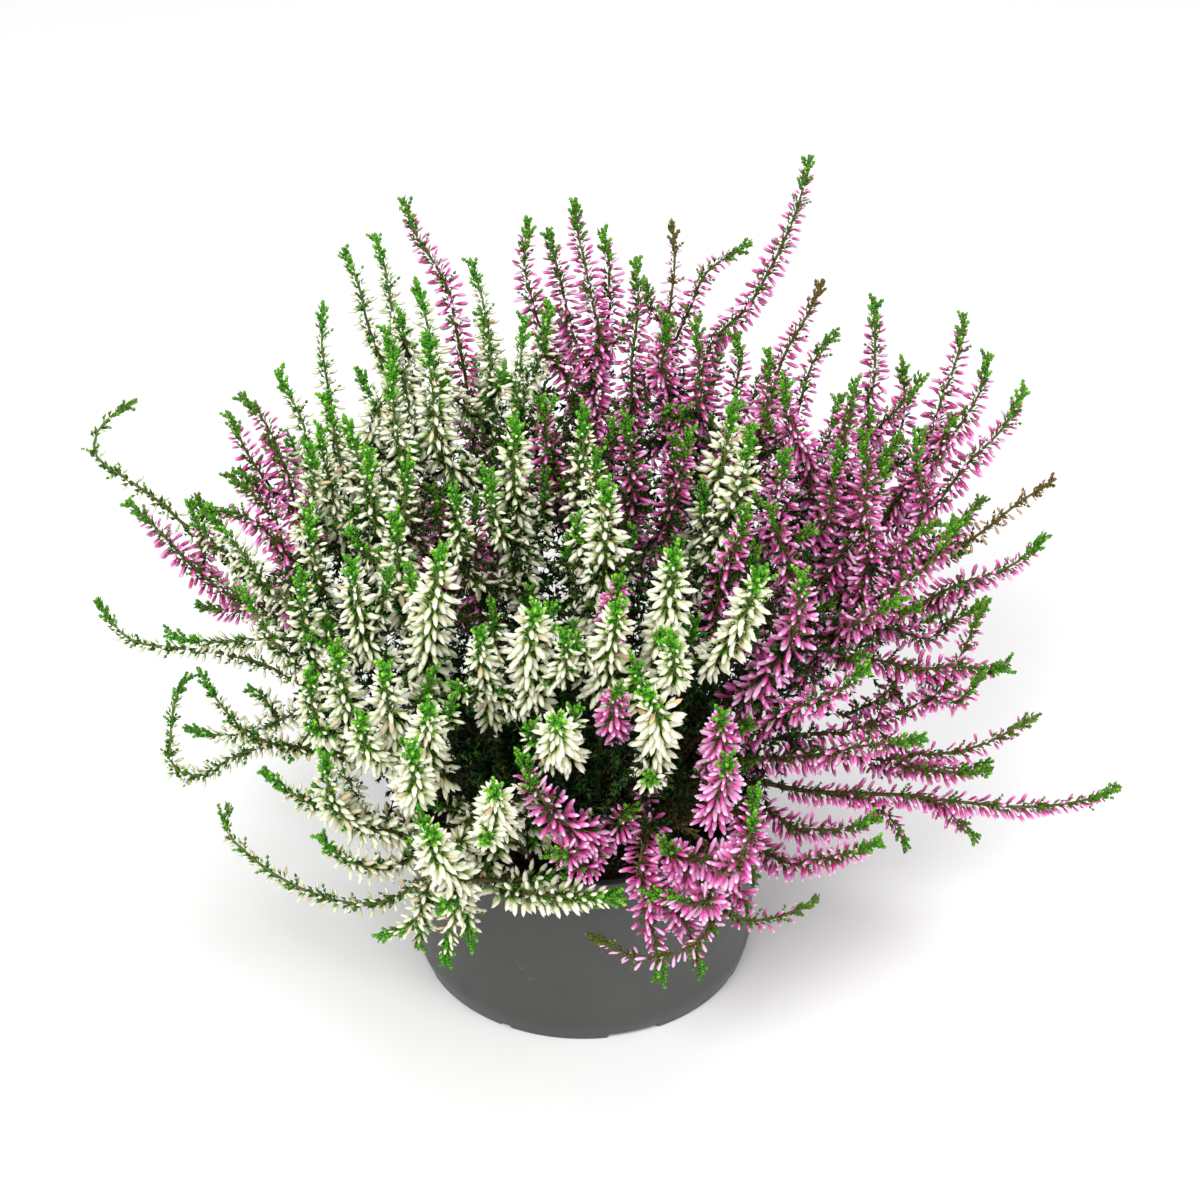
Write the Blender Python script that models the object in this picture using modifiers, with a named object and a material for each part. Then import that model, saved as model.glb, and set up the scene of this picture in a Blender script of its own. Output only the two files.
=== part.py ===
import math

import bmesh
import bpy
import numpy as np

for old in list(bpy.data.objects):
    bpy.data.objects.remove(old, do_unlink=True)

mm = 0.001

# pot, in millimetres
potHeight = 65.6
footRadius = 52.0
footWidth = 4.5
chamferRise = 5.0
wallRadius = 54.0  # above the chamfer
wallTopRadius = 54.5
wallThickness = 1.5
lipRadius = 55.6
lipRise = 2.6
recessDepth = 2.2  # of the ring under the floor
middleDiscRadius = 22.0
floorTop = 3.8
wideNotch = 18.0  # degrees of the foot ring
narrowNotch = 3.4
notchRise = 2.0
firstNotch = 17.5  # degrees to the right of the front

# soil
soilTop = 57.5
soilUneven = 1.3
soilGap = 0.35
holeDepth = 13.0
holeClear = 0.46  # between a stem's edge and its hole's edge

# sprays
stemRadius = 1.35
stemTipRadius = 1.0
tuftLength = 8.5
tuftRadius = 2.9
budSpacing = 11.4
keepClear = 0.8
stemSway = 0.65  # room kept beside a bare stem
stemStep = 26.0
stemTurn = 0.30
sampleStep = 3.2

# how the photo sees the object: pixels of a 1200 by 1200 picture
sightPitch = math.radians(36.0)
sightDistance = 1150.0
sightScale = 0.303  # millimetres a pixel, in the upright plane of the aim
sightMiddle = 600.0
aim = np.array([5.3, 0.0, 131.7])
domeMiddle = np.array([0.0, 0.0, 58.0])
domeRadii = np.array([150.0, 150.0, 172.0])

# Each spike: depth on the dome (-1 its near side, 0 its outline, 1 its far side), bud reach, length in bud,
# then picture points from the tip back. A third number in a point is its depth behind the aim.
sprays = {
    "white_01": ((0.0, 3.8, 80, (137, 402), (112, 415), (93, 440), (97, 460), (120, 474), (152, 500), (200, 545)),
                 (-0.2, 4.2, 26, (190, 499), (197, 530), (225, 565))),
    "white_02": ((-0.2, 4.6, 50, (278, 368), (288, 402), (297, 450)),
                 (0.0, 4.0, 60, (323, 302), (322, 350), (332, 410)),
                 (-0.5, 5.6, 55, (345, 418), (352, 465), (362, 520)),
                 (-0.5, 5.0, 50, (321, 424), (330, 465), (341, 510))),
    "white_03": ((0.0, 4.2, 60, (372, 234), (386, 265), (402, 310), (420, 370)),
                 (0.0, 4.0, 55, (342, 248), (357, 280), (372, 330)),
                 (-0.2, 5.0, 48, (384, 325), (392, 362), (402, 410))),
    "white_04": ((0.0, 4.3, 60, (470, 258), (477, 295), (483, 345), (484, 400)),
                 (-0.3, 5.0, 50, (418, 273), (428, 315), (436, 370)),
                 (-0.6, 6.2, 60, (428, 332), (430, 385), (434, 440))),
    "white_05": ((-0.8, 6.6, 62, (517, 416), (512, 480), (514, 545)),
                 (-0.4, 5.0, 60, (525, 315), (521, 355), (518, 405)),
                 (-0.7, 4.6, 45, (494, 474), (490, 515)),
                 (-0.8, 5.0, 50, (455, 485), (459, 530), (466, 575))),
    "white_06": ((-0.7, 6.2, 58, (396, 512), (398, 560), (404, 610)),
                 (-0.6, 6.0, 52, (367, 447), (374, 495), (384, 545)),
                 (-0.5, 5.4, 50, (390, 365), (396, 405), (404, 450)),
                 (-0.65, 5.0, 45, (408, 455), (405, 500)),
                 (-0.9, 5.6, 45, (350, 558), (356, 600), (368, 645))),
    "white_07": ((-0.7, 5.8, 56, (301, 568), (305, 618), (318, 668)),
                 (-0.6, 5.6, 50, (308, 508), (313, 550), (322, 595)),
                 (-0.4, 5.0, 45, (240, 585), (259, 620), (286, 655))),
    "white_08": ((0.0, 3.8, 75, (97, 598), (110, 621), (132, 641), (175, 647), (215, 650), (262, 664)),),
    "white_09": ((0.0, 3.8, 85, (192, 673), (176, 696), (171, 736), (171, 766), (192, 778), (225, 762), (262, 746),
                  (305, 748)),
                 (-0.1, 3.8, 48, (200, 662), (207, 685), (228, 714), (252, 737))),
    "white_10": ((0.0, 3.8, 95, (229, 803, 2), (224, 828, 0), (243, 850, -2), (275, 875, -5), (306, 891, -8),
                  (345, 903, -11), (388, 902, -16), (430, 880, -24), (462, 850, -32)),),
    "white_11": ((-0.8, 6.2, 52, (337, 645), (339, 690), (346, 735)),
                 (-0.7, 5.6, 42, (311, 668), (319, 706), (334, 745))),
    "white_12": ((-0.9, 6.4, 52, (384, 662), (389, 710), (400, 752)),
                 (-0.9, 5.6, 42, (360, 712), (368, 750)),
                 (-0.95, 6.0, 48, (429, 703), (427, 750), (436, 792)),
                 (-0.95, 6.0, 42, (412, 745), (418, 788))),
    "white_13": ((-0.7, 5.8, 60, (325, 752), (329, 792), (352, 832), (400, 845)),
                 (-0.4, 5.0, 48, (262, 768), (286, 790), (322, 808), (370, 815)),
                 (-0.6, 5.0, 48, (318, 834), (345, 852), (385, 860))),
    "white_14": ((-0.95, 6.4, 45, (431, 828), (440, 862), (462, 880)),
                 (-0.95, 6.2, 45, (494, 788), (502, 818), (514, 842))),
    "white_15": ((0.0, 5.4, 60, (447, 965, -16), (447, 935, -22), (457, 900, -28), (474, 865, -34), (496, 832, -34)),
                 (0.0, 4.8, 48, (377, 938, -14), (398, 926, -18), (428, 900, -26))),
    "white_16": ((0.0, 6.0, 78, (620, 890, -18), (600, 899, -19), (565, 898, -20), (527, 895, -21), (492, 885, -24),
                  (484, 860, -32), (500, 832, -34)),),
    "white_17": ((-1.0, 6.8, 62, (441, 544), (435, 600), (429, 665)),
                 (-0.95, 5.2, 58, (479, 627), (484, 675), (492, 725))),
    "white_18": ((-1.0, 6.8, 52, (536, 604), (534, 650), (533, 692)),
                 (-0.95, 4.6, 36, (562, 630), (558, 668)),
                 (-1.0, 6.4, 45, (557, 716), (558, 745), (558, 775))),
    "white_19": ((-0.9, 6.8, 60, (607, 479), (604, 540), (598, 600)),
                 (-0.8, 5.6, 58, (584, 406), (583, 460), (581, 520)),
                 (-0.85, 5.0, 45, (597, 447), (595, 490))),
    "white_20": ((-1.0, 6.2, 50, (618, 600), (611, 650), (603, 700)),
                 (-1.0, 6.8, 45, (643, 688), (648, 728), (648, 765))),
    "white_21": ((-1.0, 6.8, 58, (675, 548), (668, 608), (658, 662)),
                 (-1.0, 5.6, 42, (672, 636), (674, 678)),
                 (-1.0, 6.4, 50, (761, 567), (743, 618), (720, 655))),
    "white_22": ((-0.7, 7.0, 68, (738, 400), (722, 465), (703, 535)),
                 (-0.75, 6.4, 58, (751, 425), (740, 475), (718, 530))),
    "pink_01": ((0.0, 5.2, 80, (575, 198), (582, 237), (590, 287), (597, 345), (602, 400)),
                (0.0, 5.0, 55, (588, 232), (600, 270), (610, 320)),
                (0.0, 5.0, 70, (527, 217), (537, 255), (547, 305), (557, 360)),
                (0.1, 5.0, 55, (546, 228), (557, 262), (568, 315)),
                (-0.5, 5.0, 45, (541, 395), (546, 440), (552, 485))),
    "pink_02": ((-0.2, 4.8, 55, (631, 257), (627, 300), (628, 350)),
                (0.1, 3.8, 45, (672, 220), (675, 262), (676, 310)),
                (0.0, 4.5, 68, (754, 243), (727, 257), (702, 275), (685, 302), (672, 345)),
                (-0.3, 5.0, 50, (697, 318), (694, 360), (688, 405))),
    "pink_03": ((0.0, 4.8, 100, (809, 155), (804, 185), (795, 215), (779, 250), (763, 282), (740, 320), (712, 360)),
                (-0.4, 5.0, 50, (769, 348), (768, 390), (762, 430))),
    "pink_04": ((0.0, 4.6, 70, (822, 279), (815, 300), (801, 328), (787, 360), (777, 400)),
                (-0.2, 4.4, 48, (839, 333), (822, 345), (806, 366), (794, 400)),
                (-0.6, 6.0, 55, (785, 448), (780, 490), (768, 535))),
    "pink_05": ((-0.2, 5.0, 60, (875, 297), (875, 335), (875, 380), (866, 430)),
                (-0.4, 5.0, 50, (856, 378), (850, 410), (842, 450)),
                (-0.1, 4.8, 55, (903, 360), (904, 395), (903, 440), (893, 480)),
                (-0.1, 4.4, 26, (929, 376), (915, 390))),
    "pink_06": ((0.0, 5.0, 70, (963, 313), (960, 350), (953, 390), (938, 435)),
                (0.0, 5.0, 58, (988, 352), (980, 376), (966, 403), (946, 432))),
    "pink_07": ((0.0, 5.2, 80, (1025, 386), (1017, 403), (1000, 425), (972, 447), (940, 474), (905, 505)),
                (-0.3, 5.4, 66, (921, 429), (923, 465), (920, 505), (908, 545))),
    "pink_08": ((0.0, 3.8, 60, (1056, 479), (1035, 492), (1010, 509), (988, 528), (958, 546), (915, 562)),
                (-0.4, 5.4, 56, (942, 526), (918, 545), (886, 562)),
                (-0.2, 4.2, 36, (972, 517), (950, 528))),
    "pink_09": ((-0.1, 5.0, 62, (1046, 533), (1030, 552), (1008, 568), (978, 578), (938, 592)),
                (-0.6, 5.4, 55, (904, 597), (880, 611), (850, 627))),
    "pink_10": ((-0.2, 5.0, 78, (983, 598), (974, 630), (961, 660), (945, 687), (918, 705), (880, 720)),
                (-0.3, 4.4, 30, (986, 668), (967, 681))),
    "pink_11": ((-0.1, 5.0, 85, (1037, 715), (1010, 731), (982, 745), (950, 753), (910, 756), (865, 760)),
                (-0.25, 4.6, 36, (992, 770), (965, 772), (930, 771))),
    "pink_12": ((0.0, 4.8, 95, (1119, 785), (1100, 796), (1065, 804), (1025, 807), (985, 805), (940, 800), (895, 793),
                 (850, 787)),
                (0.0, 4.2, 32, (978, 843), (965, 825)),
                (0.0, 4.2, 30, (907, 851), (900, 832), (888, 812))),
    "pink_13": ((-0.4, 5.4, 72, (880, 815), (855, 827), (820, 830), (780, 826), (745, 818)),
                (-0.5, 5.4, 72, (882, 840), (857, 851), (820, 859), (780, 862))),
    "pink_14": ((0.0, 4.0, 40, (819, 899, -8), (797, 910, -10), (766, 920, -14), (735, 918, -20), (714, 893, -27),
                 (700, 858, -32), (688, 830, -30)),
                (0.0, 4.2, 46, (587, 935, -18), (617, 947, -20), (652, 950, -22), (683, 938, -24), (702, 912, -26))),
    "pink_15": ((0.0, 5.6, 60, (657, 983, -16), (660, 955, -20), (663, 922, -24), (666, 888, -30), (664, 853, -34),
                 (655, 828, -30)),
                (0.0, 5.0, 42, (702, 974, -16), (692, 950, -20), (681, 918, -26))),
    "pink_16": ((0.0, 6.4, 60, (751, 786, -66), (749, 826, -66), (740, 862, -60), (718, 880, -50), (690, 872, -42)),
                (0.0, 6.0, 50, (648, 893, -44), (676, 897, -50), (708, 893, -52))),
    "pink_17": ((-0.9, 6.0, 42, (728, 757), (722, 787), (712, 815)),
                (-0.9, 5.4, 42, (722, 710), (720, 742), (712, 772))),
    "pink_18": ((0.0, 6.4, 56, (523, 746, -72), (538, 786, -70), (560, 822, -60), (588, 842, -44)),
                (0.0, 4.6, 30, (545, 852, -56), (566, 860, -52), (590, 858, -44))),
    "pink_19": ((-0.7, 5.6, 70, (870, 664), (842, 688), (810, 703), (775, 716)),
                (-0.5, 5.6, 60, (927, 738), (895, 742), (855, 747), (815, 755))),
    "pink_20": ((-0.85, 6.4, 64, (802, 570), (799, 612), (787, 647), (762, 680)),
                (-0.7, 5.2, 48, (748, 505), (735, 550), (718, 590))),
    "pink_21": ((-0.6, 5.4, 55, (626, 412), (631, 455), (632, 500)),
                (-0.6, 5.2, 50, (692, 427), (686, 470), (676, 515))),
    "pink_22": ((-0.4, 5.6, 60, (845, 445), (838, 490), (822, 538)),
                (-0.4, 5.6, 56, (885, 460), (871, 502), (850, 545))),
    "pink_23": ((0.0, 5.0, 46, (126, 499), (150, 518), (186, 546), (232, 576)),
                (-0.2, 5.0, 50, (226, 472), (248, 491), (276, 512)),
                (-0.4, 5.0, 40, (203, 509), (236, 522), (270, 542))),
    "pink_24": ((-0.2, 4.8, 45, (226, 411), (250, 437), (275, 466)),
                (0.0, 4.6, 45, (238, 394), (262, 421), (285, 456))),
    "pink_25": ((0.1, 4.8, 85, (403, 198), (417, 237), (430, 275), (447, 320), (463, 370)),),
    "pink_26": ((-0.6, 4.4, 50, (480, 498), (483, 540), (486, 585)),
                (-0.5, 4.6, 50, (402, 468), (411, 510), (416, 555))),
    "pink_27": ((-0.9, 5.0, 40, (622, 573), (614, 605)),
                (-0.95, 5.0, 42, (628, 690), (619, 728))),
}

# far side, by rule: azimuths spread evenly behind the plant
farSprays = 9
farFrom = -8.0
farTo = 181.0
# Each spike: degrees above the soil, share of a spray's width aside, share of the dome, bud reach, length in bud.
# The second is left out on even sprays and the third on odd ones.
farSpikes = (
    (38.0, 0.00, 0.95, 5.1, 58.0),
    (64.0, -0.36, 0.93, 5.4, 58.0),
    (16.0, 0.36, 0.92, 4.8, 58.0),
    (51.0, 0.36, 0.93, 5.2, 50.0),
    (26.0, -0.34, 0.93, 5.2, 50.0),
    (9.0, -0.04, 0.86, 4.8, 44.0),
)


def seen(x, y, depth):
    scale = sightScale * (1.0 + depth / sightDistance)
    across = (x - sightMiddle) * scale
    up = (sightMiddle - y) * scale
    return aim + np.array([across, up * math.sin(sightPitch) + depth * math.cos(sightPitch),
                           up * math.cos(sightPitch) - depth * math.sin(sightPitch)])


def onDome(x, y, side):
    start = seen(x, y, 0.0)
    along = seen(x, y, 1.0) - start
    p = (start - domeMiddle) / domeRadii
    q = along / domeRadii
    a = float(q @ q)
    b = float(p @ q)
    c = float(p @ p) - 1.0
    inside = b * b - a * c
    depth = -b / a
    if inside > 0.0:
        depth += side * math.sqrt(inside) / a
    return depth


def depthOf(point):
    back = point - aim
    return back[1] * math.cos(sightPitch) - back[2] * math.sin(sightPitch)


def unit(vector):
    return vector / max(1e-9, float(np.linalg.norm(vector)))


def hermite(p, q, tangentP, tangentQ, count):
    steps = np.linspace(0.0, 1.0, count)[:, None]
    return ((2 * steps ** 3 - 3 * steps ** 2 + 1) * p + (steps ** 3 - 2 * steps ** 2 + steps) * tangentP
            + (3 * steps ** 2 - 2 * steps ** 3) * q + (steps ** 3 - steps ** 2) * tangentQ)


def evenly(points, step):
    legs = np.linalg.norm(np.diff(points, axis=0), axis=1)
    run = np.concatenate([[0.0], np.cumsum(legs)])
    count = max(4, int(round(run[-1] / step)) + 1)
    at = np.linspace(0.0, run[-1], count)
    return np.stack([np.interp(at, run, points[:, axis]) for axis in range(3)], axis=1)


def throughPoints(start, startWay, points):
    # a smooth curve from start, leaving along startWay, through the given points
    chain = [start] + list(points)
    ways = []
    for i in range(len(chain)):
        if i == 0:
            ways.append(startWay)
        elif i == len(chain) - 1:
            if len(chain) > 2:
                ways.append(unit(chain[i] - chain[i - 1]))
            else:
                outward = unit(chain[i] - domeMiddle)
                ways.append(unit(0.62 * outward + 0.42 * np.array([0.0, 0.0, 1.0])))
        else:
            ways.append(unit(unit(chain[i] - chain[i - 1]) + unit(chain[i + 1] - chain[i])))
    pieces = []
    for i in range(len(chain) - 1):
        reach = float(np.linalg.norm(chain[i + 1] - chain[i]))
        leg = hermite(chain[i], chain[i + 1], ways[i] * reach, ways[i + 1] * reach, 14)
        pieces.append(leg if i == 0 else leg[1:])
    return np.concatenate(pieces)


def picturePoints(spike, foot):
    # the spike's points from its lowest to its tip, in space
    side = spike[0]
    places = spike[3:]
    tip = places[0]
    tipDepth = tip[2] if len(tip) == 3 else onDome(tip[0], tip[1], side)
    footDepth = depthOf(foot)
    footUp = (foot - aim)[1] * math.sin(sightPitch) + (foot - aim)[2] * math.cos(sightPitch)
    footAt = (sightMiddle + (foot[0] - aim[0]) / sightScale, sightMiddle - footUp / sightScale)
    flat = [(place[0], place[1]) for place in places] + [footAt]
    legs = [math.dist(flat[i], flat[i + 1]) for i in range(len(flat) - 1)]
    total = sum(legs)
    points = []
    gone = 0.0
    for i, place in enumerate(places):
        depth = place[2] if len(place) == 3 else tipDepth + (footDepth - tipDepth) * gone / total
        points.append(seen(place[0], place[1], depth))
        gone += legs[i]
    return points[::-1]


def footings():
    # where each spray is rooted: in the direction of its first tip, the outer ones nearer the wall
    names = []
    spots = []
    for name in sorted(sprays):
        places = picturePoints(sprays[name][0], domeMiddle)
        place = places[0]
        away = math.hypot(place[0], place[1])
        outward = math.hypot(places[-1][0], places[-1][1])
        reach = 38.0 if len(sprays[name][0][-1]) == 3 else 5.0 + 35.0 * min(1.0, outward / 140.0)
        names.append(name)
        spots.append([place[0] / away * reach, place[1] / away * reach])
    for i in range(farSprays):
        angle = math.radians(farFrom + (farTo - farFrom) * (i + 0.5) / farSprays)
        reach = 36.0 if i % 2 else 27.0
        names.append(("white" if math.cos(angle) < -0.1 else "pink") + "_far_%02d" % (i + 1))
        spots.append([math.cos(angle) * reach, math.sin(angle) * reach])
    spots = np.array(spots)
    for turn in range(400):
        gap = spots[:, None] - spots[None]
        away = np.linalg.norm(gap, axis=2) + np.eye(len(spots)) * 99.0
        push = np.where(away < 7.4, (7.4 - away) * 0.3, 0.0)
        spots = spots + (gap / away[..., None] * push[..., None]).sum(axis=1)
        out = np.linalg.norm(spots, axis=1)
        spots = spots * np.minimum(1.0, 43.0 / out)[:, None]
    return dict(zip(names, spots))


def farSpike(index, which):
    height, aside, share = farSpikes[which][:3]
    angle = math.radians(farFrom + (farTo - farFrom) * (index + 0.5 + aside) / farSprays)
    rise = math.radians(height + 6.0 * math.sin(index * 2.3 + which))
    way = np.array([math.cos(rise) * math.cos(angle), math.cos(rise) * math.sin(angle), math.sin(rise)])
    return domeMiddle + way * domeRadii * share


def curvesOf(name, spot):
    # every spike of a spray as a run of points, with its bud reach, its length in bud and its parent's share
    foot = np.array([spot[0], spot[1], soilTop + 2.5])
    lean = unit(np.array([spot[0] * 0.010, spot[1] * 0.010, 1.0]))
    bottom = np.array([[spot[0], spot[1], soilTop - holeDepth], [spot[0], spot[1], soilTop - 4.0]])
    found = []
    if "_far_" in name:
        index = int(name[-2:]) - 1
        chosen = (0, 1 if index % 2 else 2, 3, 4, 5)
        targets = [([farSpike(index, which)], farSpikes[which][3], farSpikes[which][4]) for which in chosen]
    else:
        targets = [(picturePoints(spike, foot), spike[1], float(spike[2])) for spike in sprays[name]]
    main = None
    forks = []
    for points, reach, bloom in targets:
        if main is None:
            curve = throughPoints(foot, lean, points)
            main = evenly(np.concatenate([bottom, curve]), sampleStep)
            found.append([main, reach, bloom, 0])
            continue
        goal = points[0]
        best = None
        for at in range(int(len(main) * 0.30), int(len(main) * 0.72)):
            way = unit(main[at + 1] - main[at - 1])
            reachFor = goal - main[at]
            away = float(np.linalg.norm(reachFor))
            turned = 1.0 - float(way @ reachFor) / max(away, 1e-6)
            cost = turned * 60.0 + abs(away - (bloom * 0.55 if len(points) > 1 else bloom)) * 0.8
            cost += sum(30.0 for used in forks if abs(at - used) < 3)
            if best is None or cost < best[0]:
                best = (cost, at, way)
        at, way = best[1], best[2]
        forks.append(at)
        aimed = unit(0.6 * way + 0.4 * unit(goal - main[at]))
        curve = throughPoints(main[at], aimed, points)
        found.append([evenly(curve, sampleStep), reach, bloom, at])
    return found


def reachAt(curve, reach, bloom):
    # how far the spray stands out from its own axis, along one of its curves
    legs = np.linalg.norm(np.diff(curve, axis=0), axis=1)
    run = np.concatenate([[0.0], np.cumsum(legs)])
    toTip = run[-1] - run
    wide = np.where(toTip < tuftLength, tuftRadius, reach + 0.3)
    return np.where(toTip > bloom + tuftLength, stemRadius + stemSway, wide)


def nearPairs(points, allowed, limit):
    firsts = []
    seconds = []
    for start in range(0, len(points), 400):
        block = points[start:start + 400]
        away = np.linalg.norm(block[:, None] - points[None], axis=2)
        i, j = np.nonzero(away < limit)
        keep = allowed(i + start, j)
        firsts.append(i[keep] + start)
        seconds.append(j[keep])
    return np.concatenate(firsts), np.concatenate(seconds)


def bentClear(all, sweeps):
    # sprays that would touch are bent apart, a little at a time, with their feet held
    points = np.concatenate([curve[0] for curve in all])
    reach = np.concatenate([reachAt(curve[0], curve[1], curve[2]) for curve in all])
    owner = np.concatenate([np.full(len(curve[0]), curve[4]) for curve in all])
    strand = np.concatenate([np.full(len(curve[0]), k) for k, curve in enumerate(all)])
    firsts = np.concatenate([[0], np.cumsum([len(curve[0]) for curve in all])])
    home = points.copy()
    hold = np.ones(len(points))
    free = np.zeros(len(points), bool)
    clearOfFork = int(18.0 / sampleStep)
    mains = {curve[4]: k for k, curve in enumerate(all) if curve[3] == 0}
    forks = {number: max([c[3] for c in all if c[4] == number]) for number in mains}
    for k, curve in enumerate(all):
        if curve[3] == 0:
            buried = int(math.ceil((holeDepth + 2.5) / sampleStep)) + 1
            hold[firsts[k]:firsts[k] + buried] = 0.0
            hold[firsts[k] + buried] = 0.4
            free[firsts[k] + forks[curve[4]] + clearOfFork:firsts[k + 1]] = True
        else:
            free[firsts[k] + clearOfFork:firsts[k + 1]] = True

    def allowed(i, j):
        return (owner[i] != owner[j]) | ((strand[i] != strand[j]) & free[i] & free[j])

    for turn in range(sweeps):
        if turn % 6 == 0:
            i, j = nearPairs(points, allowed, 19.0)
            need = reach[i] + reach[j] + np.where(owner[i] == owner[j], -0.5, keepClear)
        gap = points[i] - points[j]
        size = np.maximum(np.linalg.norm(gap, axis=1), 0.2)
        push = gap / size[:, None] * (np.maximum(0.0, need - size) * 0.42)[:, None]
        shift = np.zeros_like(points)
        for axis in range(3):
            shift[:, axis] = np.bincount(i, push[:, axis], len(points))
        number = np.bincount(i, need > size, len(points))
        shift = shift / np.maximum(1.0, number ** 0.6)[:, None]
        shift += (home - points) * 0.015
        around = np.hypot(points[:, 0], points[:, 1])
        over = np.clip(lipRadius + reach + 1.2 - around, 0.0, None)
        inside = np.clip(around - (wallTopRadius - wallThickness - 1.5 - reach), 0.0, None)
        low = np.clip(potHeight + reach + 1.0 - points[:, 2], 0.0, None)
        beside = (low > 0.0) & (over > 0.0) & (inside > 0.0)
        outer = beside & (over < low)
        upper = beside & ~outer
        shift[upper, 2] += low[upper] * 0.4
        shift[outer, :2] += (points[outer, :2] / around[outer, None]) * (over[outer] * 0.4)[:, None]
        for k in range(len(all)):
            part = shift[firsts[k]:firsts[k + 1]]
            for smoothing in range(5):
                middle = part.copy()
                middle[1:-1] = 0.25 * part[:-2] + 0.5 * part[1:-1] + 0.25 * part[2:]
                part = middle
            shift[firsts[k]:firsts[k + 1]] = part * hold[firsts[k]:firsts[k + 1], None]
        points = points + shift
        for k, curve in enumerate(all):
            if curve[3]:
                slip = points[firsts[mains[curve[4]]] + curve[3]] - points[firsts[k]]
                count = min(12, firsts[k + 1] - firsts[k])
                points[firsts[k]:firsts[k] + count] += slip * np.linspace(1.0, 0.0, count)[:, None]
    return [points[firsts[k]:firsts[k + 1]] for k in range(len(all))]


def slimmed(all, curves):
    # where two sprays still crowd, both keep their buds shorter
    points = np.concatenate(curves)
    reach = np.concatenate([reachAt(curve, all[k][1], all[k][2]) for k, curve in enumerate(curves)])
    owner = np.concatenate([np.full(len(curve), all[k][4]) for k, curve in enumerate(curves)])
    floor = np.minimum(reach, stemRadius + stemSway)
    i, j = nearPairs(points, lambda i, j: owner[i] != owner[j], 19.0)
    away = np.sqrt(np.maximum(np.sum((points[i] - points[j]) ** 2, axis=1) - (sampleStep * 0.5) ** 2, 0.01))
    for turn in range(12):
        over = reach[i] + reach[j] + keepClear - away
        worst = np.zeros(len(points))
        np.maximum.at(worst, i, over)
        reach = np.where(worst > 0.0, np.maximum(floor, reach - worst * 0.5), reach)
    parts = []
    at = 0
    for curve in curves:
        parts.append(reach[at:at + len(curve)])
        at += len(curve)
    return parts


def framesOf(curve):
    # directions square to the curve that don't spin about it
    ways = np.gradient(curve, axis=0)
    ways = ways / np.linalg.norm(ways, axis=1)[:, None]
    side = np.array([1.0, 0.0, 0.0])
    sides = []
    for way in ways:
        side = unit(side - way * float(side @ way))
        sides.append(side)
    return ways, np.array(sides)


def bends(curve, run, start, end):
    # where a bare stem needs a ring to follow its curve
    ways = np.gradient(curve, axis=0)
    ways = ways / np.linalg.norm(ways, axis=1)[:, None]
    found = []
    last = start
    wayThere = np.array([np.interp(start, run, ways[:, axis]) for axis in range(3)])
    for i in range(len(run)):
        if run[i] < last + 4.0 or run[i] > end - 5.0:
            continue
        if math.acos(min(1.0, float(unit(wayThere) @ ways[i]))) > stemTurn or run[i] - last > stemStep:
            found.append(float(run[i]))
            last = run[i]
            wayThere = ways[i]
    return found


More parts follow.
